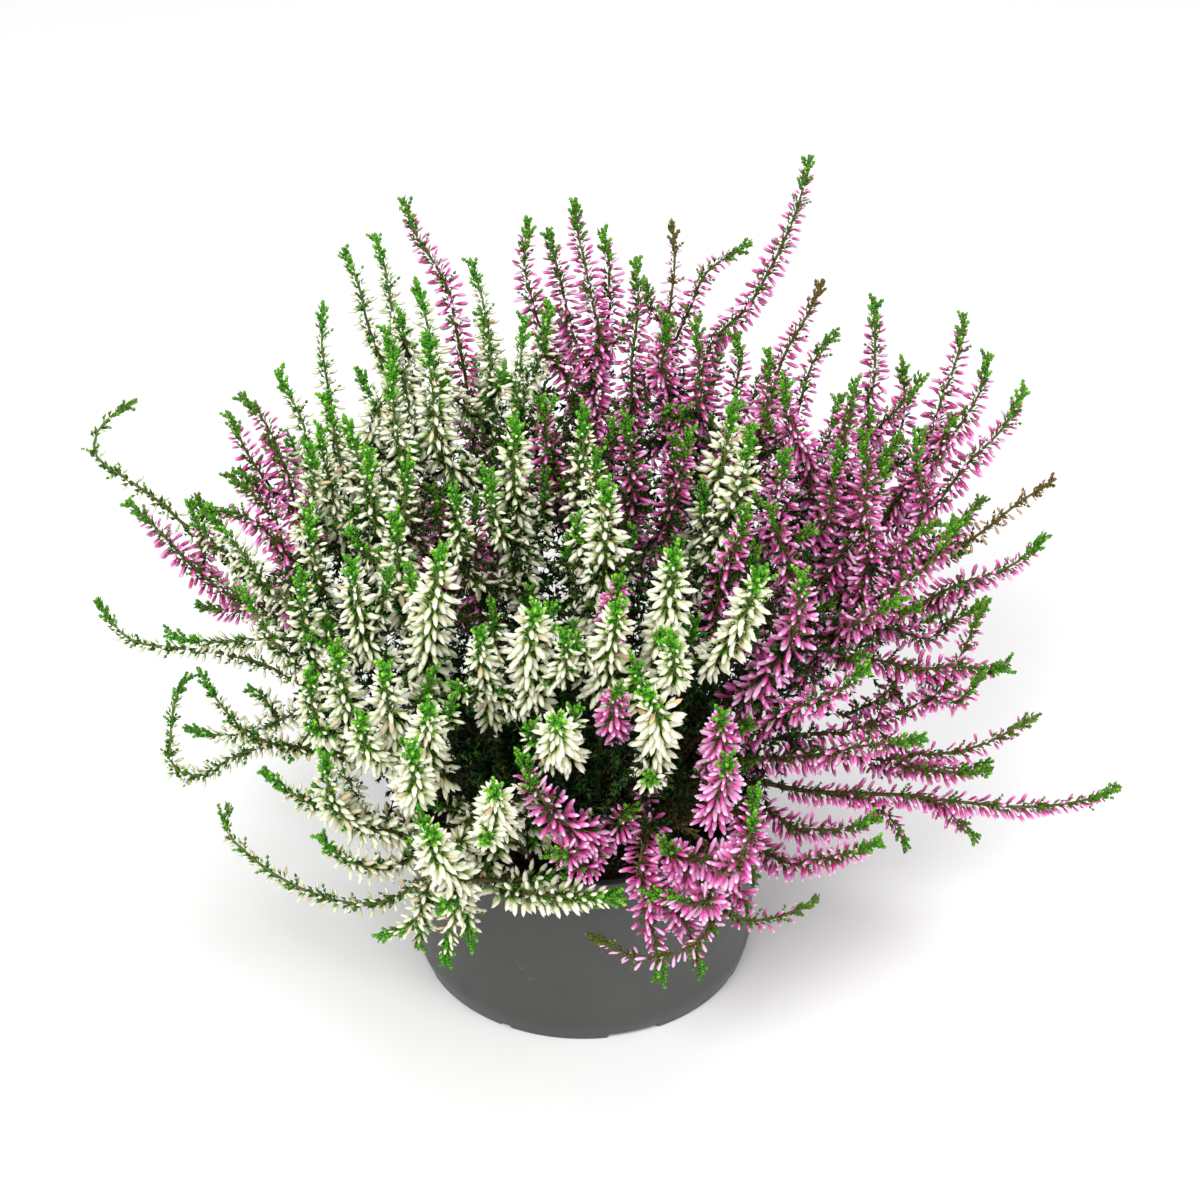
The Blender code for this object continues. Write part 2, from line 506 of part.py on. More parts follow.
def spikeMesh(curve, reach, bloomReach, bloom, rooted, seed):
    # a four-sided stem drawn out at alternate corners into buds and, near the tip, into leaves
    draw = np.random.default_rng(seed)
    legs = np.linalg.norm(np.diff(curve, axis=0), axis=1)
    run = np.concatenate([[0.0], np.cumsum(legs)])
    total = run[-1]
    bloomFrom = max(total - bloom - tuftLength, 16.5 if rooted else 5.0)
    marks = []
    if rooted:
        marks += [(0.0, "stem"), (holeDepth + 1.5, "stem")]
    else:
        marks += [(0.0, "root"), (3.2, "stem")]
    marks += [(at, "stem") for at in bends(curve, run, marks[-1][0], bloomFrom)]
    inBud = total - tuftLength - bloomFrom
    firstBud = len(marks)
    buds = max(2, int(round(inBud / (budSpacing if bloomReach > 5.1 else budSpacing * 1.14))))
    for k in range(buds):
        marks.append((bloomFrom + inBud * (k + 0.35) / buds, "bud"))
    for k in range(2):
        marks.append((total - tuftLength * (0.82 - 0.44 * k), "leaf"))
    ways, sides = framesOf(curve)
    vertices = []
    faces = []
    for k, (at, kind) in enumerate(marks):
        centre = np.array([np.interp(at, run, curve[:, axis]) for axis in range(3)])
        way = unit(np.array([np.interp(at, run, ways[:, axis]) for axis in range(3)]))
        side = np.array([np.interp(at, run, sides[:, axis]) for axis in range(3)])
        side = unit(side - way * float(side @ way))
        cross = np.cross(way, side)
        slim = stemRadius + (stemTipRadius - stemRadius) * at / total
        room = float(np.interp(at, run, reach))
        wayOn = unit(np.array([np.interp(at + 8.0, run, ways[:, axis]) for axis in range(3)]))
        straight = max(0.35, 1.0 - 1.3 * math.acos(min(1.0, float(way @ wayOn))))
        for corner in range(4):
            turned = corner * math.pi / 2
            long = slim
            ahead = 0.0
            if kind == "root":
                long = 0.7
            elif kind != "stem":
                turned += 0.16 * (k - firstBud)
                if (corner + k) % 2 == 0:
                    jitter = float(draw.uniform(0.86, 1.0))
                    if kind == "bud":
                        young = min(1.0, 0.62 + 0.38 * (total - tuftLength - at) / max(1.0, inBud * 0.4))
                        long = max(slim + 0.4, (room - 0.3) * jitter * young)
                        ahead = 1.1 * long * straight
                    else:
                        long = (0.95 - 0.14 * (k % 3)) * min(room, tuftRadius) * jitter
                        ahead = 1.3
                        long = max(long, slim + 0.5)
            place = centre + side * math.cos(turned) * long + cross * math.sin(turned) * long + way * ahead
            vertices.append(place)
    top = len(vertices)
    vertices.append(curve[-1])
    for k in range(len(marks) - 1):
        for corner in range(4):
            a = 4 * k + corner
            b = 4 * k + (corner + 1) % 4
            c = 4 * k + 4 + (corner + 1) % 4
            d = 4 * k + 4 + corner
            if (corner + k) % 2 == 0:
                faces += [(a, b, d), (b, c, d)]
            else:
                faces += [(a, b, c), (a, c, d)]
    faces += [(0, 3, 2), (0, 2, 1)]
    final = 4 * (len(marks) - 1)
    for corner in range(4):
        faces.append((final + corner, final + (corner + 1) % 4, top))
    return vertices, faces


def makeObject(name, vertices, faces):
    mesh = bpy.data.meshes.new(name)
    mesh.from_pydata([tuple(float(value) * mm for value in vertex) for vertex in vertices], [], faces)
    mesh.update()
    thing = bpy.data.objects.new(name, mesh)
    bpy.context.scene.collection.objects.link(thing)
    return thing


def applyAll(thing):
    shown = thing.evaluated_get(bpy.context.evaluated_depsgraph_get())
    mesh = bpy.data.meshes.new_from_object(shown)
    thing.modifiers.clear()
    thing.data = mesh


def keepOuter(thing):
    # a pocket closed in between two fused spikes is filled
    shape = bmesh.new()
    shape.from_mesh(thing.data)
    left = set(shape.verts)
    groups = []
    while left:
        grown = [left.pop()]
        group = set(grown)
        while grown:
            for edge in grown.pop().link_edges:
                for vertex in edge.verts:
                    if vertex in left:
                        left.remove(vertex)
                        group.add(vertex)
                        grown.append(vertex)
        groups.append(group)
    groups.sort(key=lambda group: max(v.co.z for v in group) - min(v.co.z for v in group))
    for group in groups[:-1]:
        bmesh.ops.delete(shape, geom=list(group), context="VERTS")
    shape.to_mesh(thing.data)
    shape.free()


def colour(thing, name, base, rough):
    material = bpy.data.materials.get(name)
    if material is None:
        material = bpy.data.materials.new(name)
        material.use_nodes = True
        shader = material.node_tree.nodes["Principled BSDF"]
        shader.inputs["Base Color"].default_value = (*base, 1.0)
        shader.inputs["Roughness"].default_value = rough
        material.diffuse_color = (*base, 1.0)
    thing.data.materials.clear()
    thing.data.materials.append(material)


def turned(name, profile, steps):
    edges = [(i, i + 1) for i in range(len(profile) - 1)]
    mesh = bpy.data.meshes.new(name)
    mesh.from_pydata([(r * mm, 0.0, z * mm) for r, z in profile], edges, [])
    thing = bpy.data.objects.new(name, mesh)
    bpy.context.scene.collection.objects.link(thing)
    screw = thing.modifiers.new("turn", "SCREW")
    screw.steps = steps
    screw.render_steps = steps
    screw.use_merge_vertices = True
    screw.merge_threshold = 0.00005
    screw.use_smooth_shade = False
    return thing


def radialBlock(angle, width, inner, outer, low, high):
    way = np.array([math.cos(angle), math.sin(angle), 0.0])
    side = np.array([-way[1], way[0], 0.0])
    corners = []
    for z in (low, high):
        for along, across in ((inner, -1), (outer, -1), (outer, 1), (inner, 1)):
            corners.append(way * along + side * across * width / 2 + np.array([0.0, 0.0, z]))
    return corners, [(0, 3, 2, 1), (4, 5, 6, 7), (0, 1, 5, 4), (1, 2, 6, 5), (2, 3, 7, 6), (3, 0, 4, 7)]


def cutWith(thing, name, blocks):
    vertices = []
    faces = []
    for corners, sides in blocks:
        start = len(vertices)
        vertices += corners
        faces += [tuple(start + i for i in face) for face in sides]
    cutter = makeObject(name, vertices, faces)
    cutter.hide_render = True
    cutter.display_type = "WIRE"
    cut = thing.modifiers.new(name, "BOOLEAN")
    cut.operation = "DIFFERENCE"
    cut.solver = "EXACT"
    cut.object = cutter
    return cutter


# the pot
potProfile = [
    (0.0, floorTop),
    (footRadius - 4.6, floorTop),
    (wallRadius - wallThickness, chamferRise + 3.2),
    (wallTopRadius - wallThickness, potHeight),
    (lipRadius - 0.4, potHeight),
    (lipRadius, potHeight - 0.6),
    (lipRadius, potHeight - lipRise),
    (wallTopRadius, potHeight - lipRise - 0.5),
    (wallRadius, chamferRise),
    (footRadius, 0.0),
    (footRadius - footWidth, 0.0),
    (footRadius - footWidth - 0.8, recessDepth),
    (middleDiscRadius + 0.8, recessDepth),
    (middleDiscRadius, 0.0),
    (0.0, 0.0),
]
pot = turned("pot", potProfile, 32)
notches = []
for i in range(8):
    angle = math.radians(-90.0 + firstNotch + 45.0 * i)
    share = wideNotch if i % 2 == 0 else narrowNotch
    width = 2.0 * footRadius * math.sin(math.radians(share / 2))
    notches.append(radialBlock(angle, width, footRadius - footWidth - 4.5, footRadius + 6.0, -2.0,
                               notchRise + 0.2 if i % 2 == 0 else notchRise - 0.4))
potCutter = cutWith(pot, "pot_notches", notches)
applyAll(pot)
bpy.data.objects.remove(potCutter, do_unlink=True)
colour(pot, "pot_plastic", (0.075, 0.078, 0.075), 0.55)

# where every spray stands and how it runs
spots = footings()
sprayNames = sorted(spots)
allCurves = []
for number, name in enumerate(sprayNames):
    for curve in curvesOf(name, spots[name]):
        allCurves.append(curve + [number])
cleared = bentClear(allCurves, 150)
room = slimmed(allCurves, cleared)


# the soil
def soilHeight(x, y):
    return soilTop + soilUneven * (0.5 * math.sin(0.21 * x + 1.3) * math.cos(0.17 * y)
                                   + 0.5 * math.sin(0.39 * y + 0.33 * x))


soilSectors = 16
soilRings = (14.0, 28.0, 41.0, wallTopRadius - wallThickness - soilGap - 0.3)
soilVertices = [np.array([0.0, 0.0, soilHeight(0.0, 0.0)])]
soilFaces = []
for ring in soilRings:
    for i in range(soilSectors):
        angle = 2.0 * math.pi * (i + 0.5 * (soilRings.index(ring) % 2)) / soilSectors
        x, y = ring * math.cos(angle), ring * math.sin(angle)
        soilVertices.append(np.array([x, y, soilHeight(x, y) - (0.8 if ring == soilRings[-1] else 0.0)]))
for ring, z in ((wallRadius - wallThickness - soilGap - 0.2, chamferRise + 3.6),
                (footRadius - 5.3, floorTop + soilGap)):
    for i in range(soilSectors):
        angle = 2.0 * math.pi * i / soilSectors
        soilVertices.append(np.array([ring * math.cos(angle), ring * math.sin(angle), z]))
soilVertices.append(np.array([0.0, 0.0, floorTop + soilGap]))
for i in range(soilSectors):
    soilFaces.append((0, 1 + i, 1 + (i + 1) % soilSectors))
rows = len(soilRings) + 2
for row in range(rows - 1):
    for i in range(soilSectors):
        a = 1 + row * soilSectors + i
        b = 1 + row * soilSectors + (i + 1) % soilSectors
        c = b + soilSectors
        d = a + soilSectors
        forward = row % 2 == 0 and row < len(soilRings) - 1
        soilFaces += [(a, d, b), (b, d, c)] if forward else [(a, d, c), (a, c, b)]
bottomStart = 1 + (rows - 1) * soilSectors
for i in range(soilSectors):
    soilFaces.append((bottomStart + (i + 1) % soilSectors, bottomStart + i, len(soilVertices) - 1))
soil = makeObject("soil", soilVertices, soilFaces)
holes = []
for name in sprayNames:
    x, y = spots[name]
    wide = stemRadius + holeClear
    low = soilTop - holeDepth - soilGap
    high = soilTop + 9.0
    ring = [(wide, 0.0), (0.0, wide), (-wide, 0.0), (0.0, -wide)]
    corners = [np.array([x + dx, y + dy, z]) for z in (low, high) for dx, dy in ring]
    holes.append((corners, [(0, 3, 2, 1), (4, 5, 6, 7), (0, 1, 5, 4), (1, 2, 6, 5), (2, 3, 7, 6), (3, 0, 4, 7)]))
soilCutter = cutWith(soil, "soil_holes", holes)
applyAll(soil)
bpy.data.objects.remove(soilCutter, do_unlink=True)
colour(soil, "soil", (0.035, 0.024, 0.016), 0.95)

# the sprays
for number, name in enumerate(sprayNames):
    parts = []
    for k, curve in enumerate(allCurves):
        if curve[4] != number:
            continue
        vertices, faces = spikeMesh(cleared[k], room[k], curve[1], curve[2], curve[3] == 0, 1000 + 7 * k)
        parts.append(makeObject(name + "_part", vertices, faces))
    spray = parts[0]
    spray.name = name
    spray.data.name = name
    for part in parts[1:]:
        join = spray.modifiers.new("fuse", "BOOLEAN")
        join.operation = "UNION"
        join.solver = "MANIFOLD"
        join.object = part
    if len(parts) > 1:
        applyAll(spray)
    for part in parts[1:]:
        bpy.data.objects.remove(part, do_unlink=True)
    if len(parts) > 1:
        keepOuter(spray)
    if name.startswith("white"):
        colour(spray, "white_spray", (0.62, 0.66, 0.42), 0.7)
    else:
        colour(spray, "pink_spray", (0.55, 0.14, 0.36), 0.7)

for thing in bpy.data.objects:
    thing.select_set(False)
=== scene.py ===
import math

import bpy
import numpy as np
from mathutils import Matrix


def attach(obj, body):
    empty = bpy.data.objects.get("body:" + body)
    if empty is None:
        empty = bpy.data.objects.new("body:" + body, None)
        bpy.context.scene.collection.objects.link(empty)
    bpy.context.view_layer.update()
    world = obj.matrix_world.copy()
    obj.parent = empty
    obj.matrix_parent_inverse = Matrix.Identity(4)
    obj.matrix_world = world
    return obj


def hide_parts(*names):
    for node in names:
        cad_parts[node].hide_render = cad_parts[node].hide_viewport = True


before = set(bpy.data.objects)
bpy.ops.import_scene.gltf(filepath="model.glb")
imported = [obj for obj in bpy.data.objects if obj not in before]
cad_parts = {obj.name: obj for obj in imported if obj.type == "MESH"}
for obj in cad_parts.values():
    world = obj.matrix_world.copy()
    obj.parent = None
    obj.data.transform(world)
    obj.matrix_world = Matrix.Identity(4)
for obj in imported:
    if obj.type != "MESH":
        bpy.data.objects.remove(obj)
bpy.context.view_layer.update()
mm = 0.001
print("frame loaded,", len(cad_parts), "nodes")

# camera and how the photo sees the object: pixels of a 1200 by 1200 picture, lengths in millimetres
sight = {
    "pitch": math.radians(36.0),
    "distance": 1150.0,
    "scale": 0.303,  # a pixel, in the upright plane of the aim
    "pixels": 1200.0,
    "middle": 600.0,
    "sensor": 36.0,
    "aim": np.array([5.3, 0.0, 131.7]),
}
dome = {"middle": np.array([0.0, 0.0, 58.0]), "radii": np.array([150.0, 150.0, 172.0])}
pot = {
    "height": 65.6,
    "footRadius": 52.0,
    "footWidth": 4.5,
    "chamferRise": 5.0,
    "wallRadius": 54.0,
    "wallTopRadius": 54.5,
    "wallThickness": 1.5,
    "lipRadius": 55.6,
    "lipRise": 2.6,
    "recessDepth": 2.2,
    "discRadius": 22.0,
    "floorTop": 3.8,
    "notches": 8,  # wide and narrow ones in turn
    "wideNotch": 18.0,  # degrees
    "narrowNotch": 3.4,
    "notchRise": 2.0,
    "firstNotch": 17.5,
    "steps": 180,
    "colour": (0.044, 0.0465, 0.043),
    "roughness": 0.42,
}
soil = {
    "top": 57.5,
    "uneven": 1.3,
    "holeDepth": 13.0,
    "crumbs": 400,
    "crumbSize": (0.8, 2.3),
}
growth = {
    "stemRadius": 1.35,
    "tuftLength": 8.5,
    "tuftRadius": 2.9,
    "keepClear": 0.8,
    "stemSway": 0.65,
    "sampleStep": 3.2,
    "fineStep": 1.6,
    "sweeps": 150,
    "footGap": 7.4,  # between the feet of two sprays
    "footReach": 43.0,  # the furthest foot from the pot's middle
    "footSweeps": 400,
    "farSprays": 9,
    "farFrom": -8.0,
    "farTo": 181.0,
    # degrees above the soil, share of a spray's width aside, share of the dome, bud reach, length in bud
    "farSpikes": ((38.0, 0.00, 0.95, 5.1, 58.0), (64.0, -0.36, 0.93, 5.4, 58.0),
                  (16.0, 0.36, 0.92, 4.8, 58.0), (51.0, 0.36, 0.93, 5.2, 50.0),
                  (26.0, -0.34, 0.93, 5.2, 50.0), (9.0, -0.04, 0.86, 4.8, 44.0)),
}

# where a spike may fork, as shares of the first one, and what speaks against a place
forking = {"from": 0.30, "to": 0.72, "bendCost": 60.0, "lengthCost": 0.8, "closeCost": 30.0, "apart": 3}
# how sprays that would touch are bent apart
bending = {"near": 19.0, "renewed": 6, "own": -0.5, "push": 0.42, "homeward": 0.015, "rimPush": 0.4,
           "forkLength": 18.0, "softened": 5}

# Each spike: depth on the dome (-1 its near side, 0 its outline, 1 its far side), bud reach, length in bud,
# then picture points from the tip back. A third number in a point is its depth behind the aim.
sprays = {
    "white_01": (
        (0.0, 3.8, 80, (137, 402), (112, 415), (93, 440), (97, 460), (120, 474), (152, 500), (200, 545)),
        (-0.2, 4.2, 26, (190, 499), (197, 530), (225, 565)),
    ),
    "white_02": (
        (-0.2, 4.6, 50, (278, 368), (288, 402), (297, 450)),
        (0.0, 4.0, 60, (323, 302), (322, 350), (332, 410)),
        (-0.5, 5.6, 55, (345, 418), (352, 465), (362, 520)),
        (-0.5, 5.0, 50, (321, 424), (330, 465), (341, 510)),
    ),
    "white_03": (
        (0.0, 4.2, 60, (372, 234), (386, 265), (402, 310), (420, 370)),
        (0.0, 4.0, 55, (342, 248), (357, 280), (372, 330)),
        (-0.2, 5.0, 48, (384, 325), (392, 362), (402, 410)),
    ),
    "white_04": (
        (0.0, 4.3, 60, (470, 258), (477, 295), (483, 345), (484, 400)),
        (-0.3, 5.0, 50, (418, 273), (428, 315), (436, 370)),
        (-0.6, 6.2, 60, (428, 332), (430, 385), (434, 440)),
    ),
    "white_05": (
        (-0.8, 6.6, 62, (517, 416), (512, 480), (514, 545)),
        (-0.4, 5.0, 60, (525, 315), (521, 355), (518, 405)),
        (-0.7, 4.6, 45, (494, 474), (490, 515)),
        (-0.8, 5.0, 50, (455, 485), (459, 530), (466, 575)),
    ),
    "white_06": (
        (-0.7, 6.2, 58, (396, 512), (398, 560), (404, 610)),
        (-0.6, 6.0, 52, (367, 447), (374, 495), (384, 545)),
        (-0.5, 5.4, 50, (390, 365), (396, 405), (404, 450)),
        (-0.65, 5.0, 45, (408, 455), (405, 500)),
        (-0.9, 5.6, 45, (350, 558), (356, 600), (368, 645)),
    ),
    "white_07": (
        (-0.7, 5.8, 56, (301, 568), (305, 618), (318, 668)),
        (-0.6, 5.6, 50, (308, 508), (313, 550), (322, 595)),
        (-0.4, 5.0, 45, (240, 585), (259, 620), (286, 655)),
    ),
    "white_08": (
        (0.0, 3.8, 75, (97, 598), (110, 621), (132, 641), (175, 647), (215, 650), (262, 664)),
    ),
    "white_09": (
        (0.0, 3.8, 85, (192, 673), (176, 696), (171, 736), (171, 766), (192, 778), (225, 762), (262, 746),
         (305, 748)),
        (-0.1, 3.8, 48, (200, 662), (207, 685), (228, 714), (252, 737)),
    ),
    "white_10": (
        (0.0, 3.8, 95, (229, 803, 2), (224, 828, 0), (243, 850, -2), (275, 875, -5), (306, 891, -8),
         (345, 903, -11), (388, 902, -16), (430, 880, -24), (462, 850, -32)),
    ),
    "white_11": (
        (-0.8, 6.2, 52, (337, 645), (339, 690), (346, 735)),
        (-0.7, 5.6, 42, (311, 668), (319, 706), (334, 745)),
    ),
    "white_12": (
        (-0.9, 6.4, 52, (384, 662), (389, 710), (400, 752)),
        (-0.9, 5.6, 42, (360, 712), (368, 750)),
        (-0.95, 6.0, 48, (429, 703), (427, 750), (436, 792)),
        (-0.95, 6.0, 42, (412, 745), (418, 788)),
    ),
    "white_13": (
        (-0.7, 5.8, 60, (325, 752), (329, 792), (352, 832), (400, 845)),
        (-0.4, 5.0, 48, (262, 768), (286, 790), (322, 808), (370, 815)),
        (-0.6, 5.0, 48, (318, 834), (345, 852), (385, 860)),
    ),
    "white_14": (
        (-0.95, 6.4, 45, (431, 828), (440, 862), (462, 880)),
        (-0.95, 6.2, 45, (494, 788), (502, 818), (514, 842)),
    ),
    "white_15": (
        (0.0, 5.4, 60, (447, 965, -16), (447, 935, -22), (457, 900, -28), (474, 865, -34), (496, 832, -34)),
        (0.0, 4.8, 48, (377, 938, -14), (398, 926, -18), (428, 900, -26)),
    ),
    "white_16": (
        (0.0, 6.0, 78, (620, 890, -18), (600, 899, -19), (565, 898, -20), (527, 895, -21), (492, 885, -24),
         (484, 860, -32), (500, 832, -34)),
    ),
    "white_17": (
        (-1.0, 6.8, 62, (441, 544), (435, 600), (429, 665)),
        (-0.95, 5.2, 58, (479, 627), (484, 675), (492, 725)),
    ),
    "white_18": (
        (-1.0, 6.8, 52, (536, 604), (534, 650), (533, 692)),
        (-0.95, 4.6, 36, (562, 630), (558, 668)),
        (-1.0, 6.4, 45, (557, 716), (558, 745), (558, 775)),
    ),
    "white_19": (
        (-0.9, 6.8, 60, (607, 479), (604, 540), (598, 600)),
        (-0.8, 5.6, 58, (584, 406), (583, 460), (581, 520)),
        (-0.85, 5.0, 45, (597, 447), (595, 490)),
    ),
    "white_20": (
        (-1.0, 6.2, 50, (618, 600), (611, 650), (603, 700)),
        (-1.0, 6.8, 45, (643, 688), (648, 728), (648, 765)),
    ),
    "white_21": (
        (-1.0, 6.8, 58, (675, 548), (668, 608), (658, 662)),
        (-1.0, 5.6, 42, (672, 636), (674, 678)),
        (-1.0, 6.4, 50, (761, 567), (743, 618), (720, 655)),
    ),
    "white_22": (
        (-0.7, 7.0, 68, (738, 400), (722, 465), (703, 535)),
        (-0.75, 6.4, 58, (751, 425), (740, 475), (718, 530)),
    ),
    "pink_01": (
        (0.0, 5.2, 80, (575, 198), (582, 237), (590, 287), (597, 345), (602, 400)),
        (0.0, 5.0, 55, (588, 232), (600, 270), (610, 320)),
        (0.0, 5.0, 70, (527, 217), (537, 255), (547, 305), (557, 360)),
        (0.1, 5.0, 55, (546, 228), (557, 262), (568, 315)),
        (-0.5, 5.0, 45, (541, 395), (546, 440), (552, 485)),
    ),
    "pink_02": (
        (-0.2, 4.8, 55, (631, 257), (627, 300), (628, 350)),
        (0.1, 3.8, 45, (672, 220), (675, 262), (676, 310)),
        (0.0, 4.5, 68, (754, 243), (727, 257), (702, 275), (685, 302), (672, 345)),
        (-0.3, 5.0, 50, (697, 318), (694, 360), (688, 405)),
    ),
    "pink_03": (
        (0.0, 4.8, 100, (809, 155), (804, 185), (795, 215), (779, 250), (763, 282), (740, 320), (712, 360)),
        (-0.4, 5.0, 50, (769, 348), (768, 390), (762, 430)),
    ),
    "pink_04": (
        (0.0, 4.6, 70, (822, 279), (815, 300), (801, 328), (787, 360), (777, 400)),
        (-0.2, 4.4, 48, (839, 333), (822, 345), (806, 366), (794, 400)),
        (-0.6, 6.0, 55, (785, 448), (780, 490), (768, 535)),
    ),
    "pink_05": (
        (-0.2, 5.0, 60, (875, 297), (875, 335), (875, 380), (866, 430)),
        (-0.4, 5.0, 50, (856, 378), (850, 410), (842, 450)),
        (-0.1, 4.8, 55, (903, 360), (904, 395), (903, 440), (893, 480)),
        (-0.1, 4.4, 26, (929, 376), (915, 390)),
    ),
    "pink_06": (
        (0.0, 5.0, 70, (963, 313), (960, 350), (953, 390), (938, 435)),
        (0.0, 5.0, 58, (988, 352), (980, 376), (966, 403), (946, 432)),
    ),
    "pink_07": (
        (0.0, 5.2, 80, (1025, 386), (1017, 403), (1000, 425), (972, 447), (940, 474), (905, 505)),
        (-0.3, 5.4, 66, (921, 429), (923, 465), (920, 505), (908, 545)),
    ),
    "pink_08": (
        (0.0, 3.8, 60, (1056, 479), (1035, 492), (1010, 509), (988, 528), (958, 546), (915, 562)),
        (-0.4, 5.4, 56, (942, 526), (918, 545), (886, 562)),
        (-0.2, 4.2, 36, (972, 517), (950, 528)),
    ),
    "pink_09": (
        (-0.1, 5.0, 62, (1046, 533), (1030, 552), (1008, 568), (978, 578), (938, 592)),
        (-0.6, 5.4, 55, (904, 597), (880, 611), (850, 627)),
    ),
    "pink_10": (
        (-0.2, 5.0, 78, (983, 598), (974, 630), (961, 660), (945, 687), (918, 705), (880, 720)),
        (-0.3, 4.4, 30, (986, 668), (967, 681)),
    ),
    "pink_11": (
        (-0.1, 5.0, 85, (1037, 715), (1010, 731), (982, 745), (950, 753), (910, 756), (865, 760)),
        (-0.25, 4.6, 36, (992, 770), (965, 772), (930, 771)),
    ),
    "pink_12": (
        (0.0, 4.8, 95, (1119, 785), (1100, 796), (1065, 804), (1025, 807), (985, 805), (940, 800),
         (895, 793), (850, 787)),
        (0.0, 4.2, 32, (978, 843), (965, 825)),
        (0.0, 4.2, 30, (907, 851), (900, 832), (888, 812)),
    ),
    "pink_13": (
        (-0.4, 5.4, 72, (880, 815), (855, 827), (820, 830), (780, 826), (745, 818)),
        (-0.5, 5.4, 72, (882, 840), (857, 851), (820, 859), (780, 862)),
    ),
    "pink_14": (
        (0.0, 4.0, 40, (819, 899, -8), (797, 910, -10), (766, 920, -14), (735, 918, -20), (714, 893, -27),
         (700, 858, -32), (688, 830, -30)),
        (0.0, 4.2, 46, (587, 935, -18), (617, 947, -20), (652, 950, -22), (683, 938, -24), (702, 912, -26)),
    ),
    "pink_15": (
        (0.0, 5.6, 60, (657, 983, -16), (660, 955, -20), (663, 922, -24), (666, 888, -30), (664, 853, -34),
         (655, 828, -30)),
        (0.0, 5.0, 42, (702, 974, -16), (692, 950, -20), (681, 918, -26)),
    ),
    "pink_16": (
        (0.0, 6.4, 60, (751, 786, -66), (749, 826, -66), (740, 862, -60), (718, 880, -50), (690, 872, -42)),
        (0.0, 6.0, 50, (648, 893, -44), (676, 897, -50), (708, 893, -52)),
    ),
    "pink_17": (
        (-0.9, 6.0, 42, (728, 757), (722, 787), (712, 815)),
        (-0.9, 5.4, 42, (722, 710), (720, 742), (712, 772)),
    ),
    "pink_18": (
        (0.0, 6.4, 56, (523, 746, -72), (538, 786, -70), (560, 822, -60), (588, 842, -44)),
        (0.0, 4.6, 30, (545, 852, -56), (566, 860, -52), (590, 858, -44)),
    ),
    "pink_19": (
        (-0.7, 5.6, 70, (870, 664), (842, 688), (810, 703), (775, 716)),
        (-0.5, 5.6, 60, (927, 738), (895, 742), (855, 747), (815, 755)),
    ),
    "pink_20": (
        (-0.85, 6.4, 64, (802, 570), (799, 612), (787, 647), (762, 680)),
        (-0.7, 5.2, 48, (748, 505), (735, 550), (718, 590)),
    ),
    "pink_21": (
        (-0.6, 5.4, 55, (626, 412), (631, 455), (632, 500)),
        (-0.6, 5.2, 50, (692, 427), (686, 470), (676, 515)),
    ),
    "pink_22": (
        (-0.4, 5.6, 60, (845, 445), (838, 490), (822, 538)),
        (-0.4, 5.6, 56, (885, 460), (871, 502), (850, 545)),
    ),
    "pink_23": (
        (0.0, 5.0, 46, (126, 499), (150, 518), (186, 546), (232, 576)),
        (-0.2, 5.0, 50, (226, 472), (248, 491), (276, 512)),
        (-0.4, 5.0, 40, (203, 509), (236, 522), (270, 542)),
    ),
    "pink_24": (
        (-0.2, 4.8, 45, (226, 411), (250, 437), (275, 466)),
        (0.0, 4.6, 45, (238, 394), (262, 421), (285, 456)),
    ),
    "pink_25": (
        (0.1, 4.8, 85, (403, 198), (417, 237), (430, 275), (447, 320), (463, 370)),
    ),
    "pink_26": (
        (-0.6, 4.4, 50, (480, 498), (483, 540), (486, 585)),
        (-0.5, 4.6, 50, (402, 468), (411, 510), (416, 555)),
    ),
    "pink_27": (
        (-0.9, 5.0, 40, (622, 573), (614, 605)),
        (-0.95, 5.0, 42, (628, 690), (619, 728)),
    ),
}


def seen(x, y, depth):
    scale = sight["scale"] * (1.0 + depth / sight["distance"])
    across = (x - sight["middle"]) * scale
    up = (sight["middle"] - y) * scale
    pitch = sight["pitch"]
    return sight["aim"] + np.array([across, up * math.sin(pitch) + depth * math.cos(pitch),
                                    up * math.cos(pitch) - depth * math.sin(pitch)])


def onDome(x, y, side):
    start = seen(x, y, 0.0)
    along = seen(x, y, 1.0) - start
    p = (start - dome["middle"]) / dome["radii"]
    q = along / dome["radii"]
    a = float(q @ q)
    b = float(p @ q)
    inside = b * b - a * (float(p @ p) - 1.0)
    depth = -b / a
    if inside > 0.0:
        depth += side * math.sqrt(inside) / a
    return depth


def viewed(points):
    # how far points are across, up and behind the aim, as the camera looks
    back = points - sight["aim"]
    up = back[..., 1] * math.sin(sight["pitch"]) + back[..., 2] * math.cos(sight["pitch"])
    depth = back[..., 1] * math.cos(sight["pitch"]) - back[..., 2] * math.sin(sight["pitch"])
    return back[..., 0], up, depth


def unit(vector):
    return vector / max(1e-9, float(np.linalg.norm(vector)))


def units(vectors):
    return vectors / np.maximum(1e-9, np.linalg.norm(vectors, axis=-1, keepdims=True))


def hermite(p, q, tangentP, tangentQ, count):
    t = np.linspace(0.0, 1.0, count)[:, None]
    return ((2 * t ** 3 - 3 * t ** 2 + 1) * p + (t ** 3 - 2 * t ** 2 + t) * tangentP
            + (3 * t ** 2 - 2 * t ** 3) * q + (t ** 3 - t ** 2) * tangentQ)


def runOf(points):
    legs = np.linalg.norm(np.diff(points, axis=0), axis=1)
    return np.concatenate([[0.0], np.cumsum(legs)])


def smoothed(rows):
    # one soft average along the rows, with both ends held
    middle = rows.copy()
    middle[1:-1] = 0.25 * rows[:-2] + 0.5 * rows[1:-1] + 0.25 * rows[2:]
    return middle


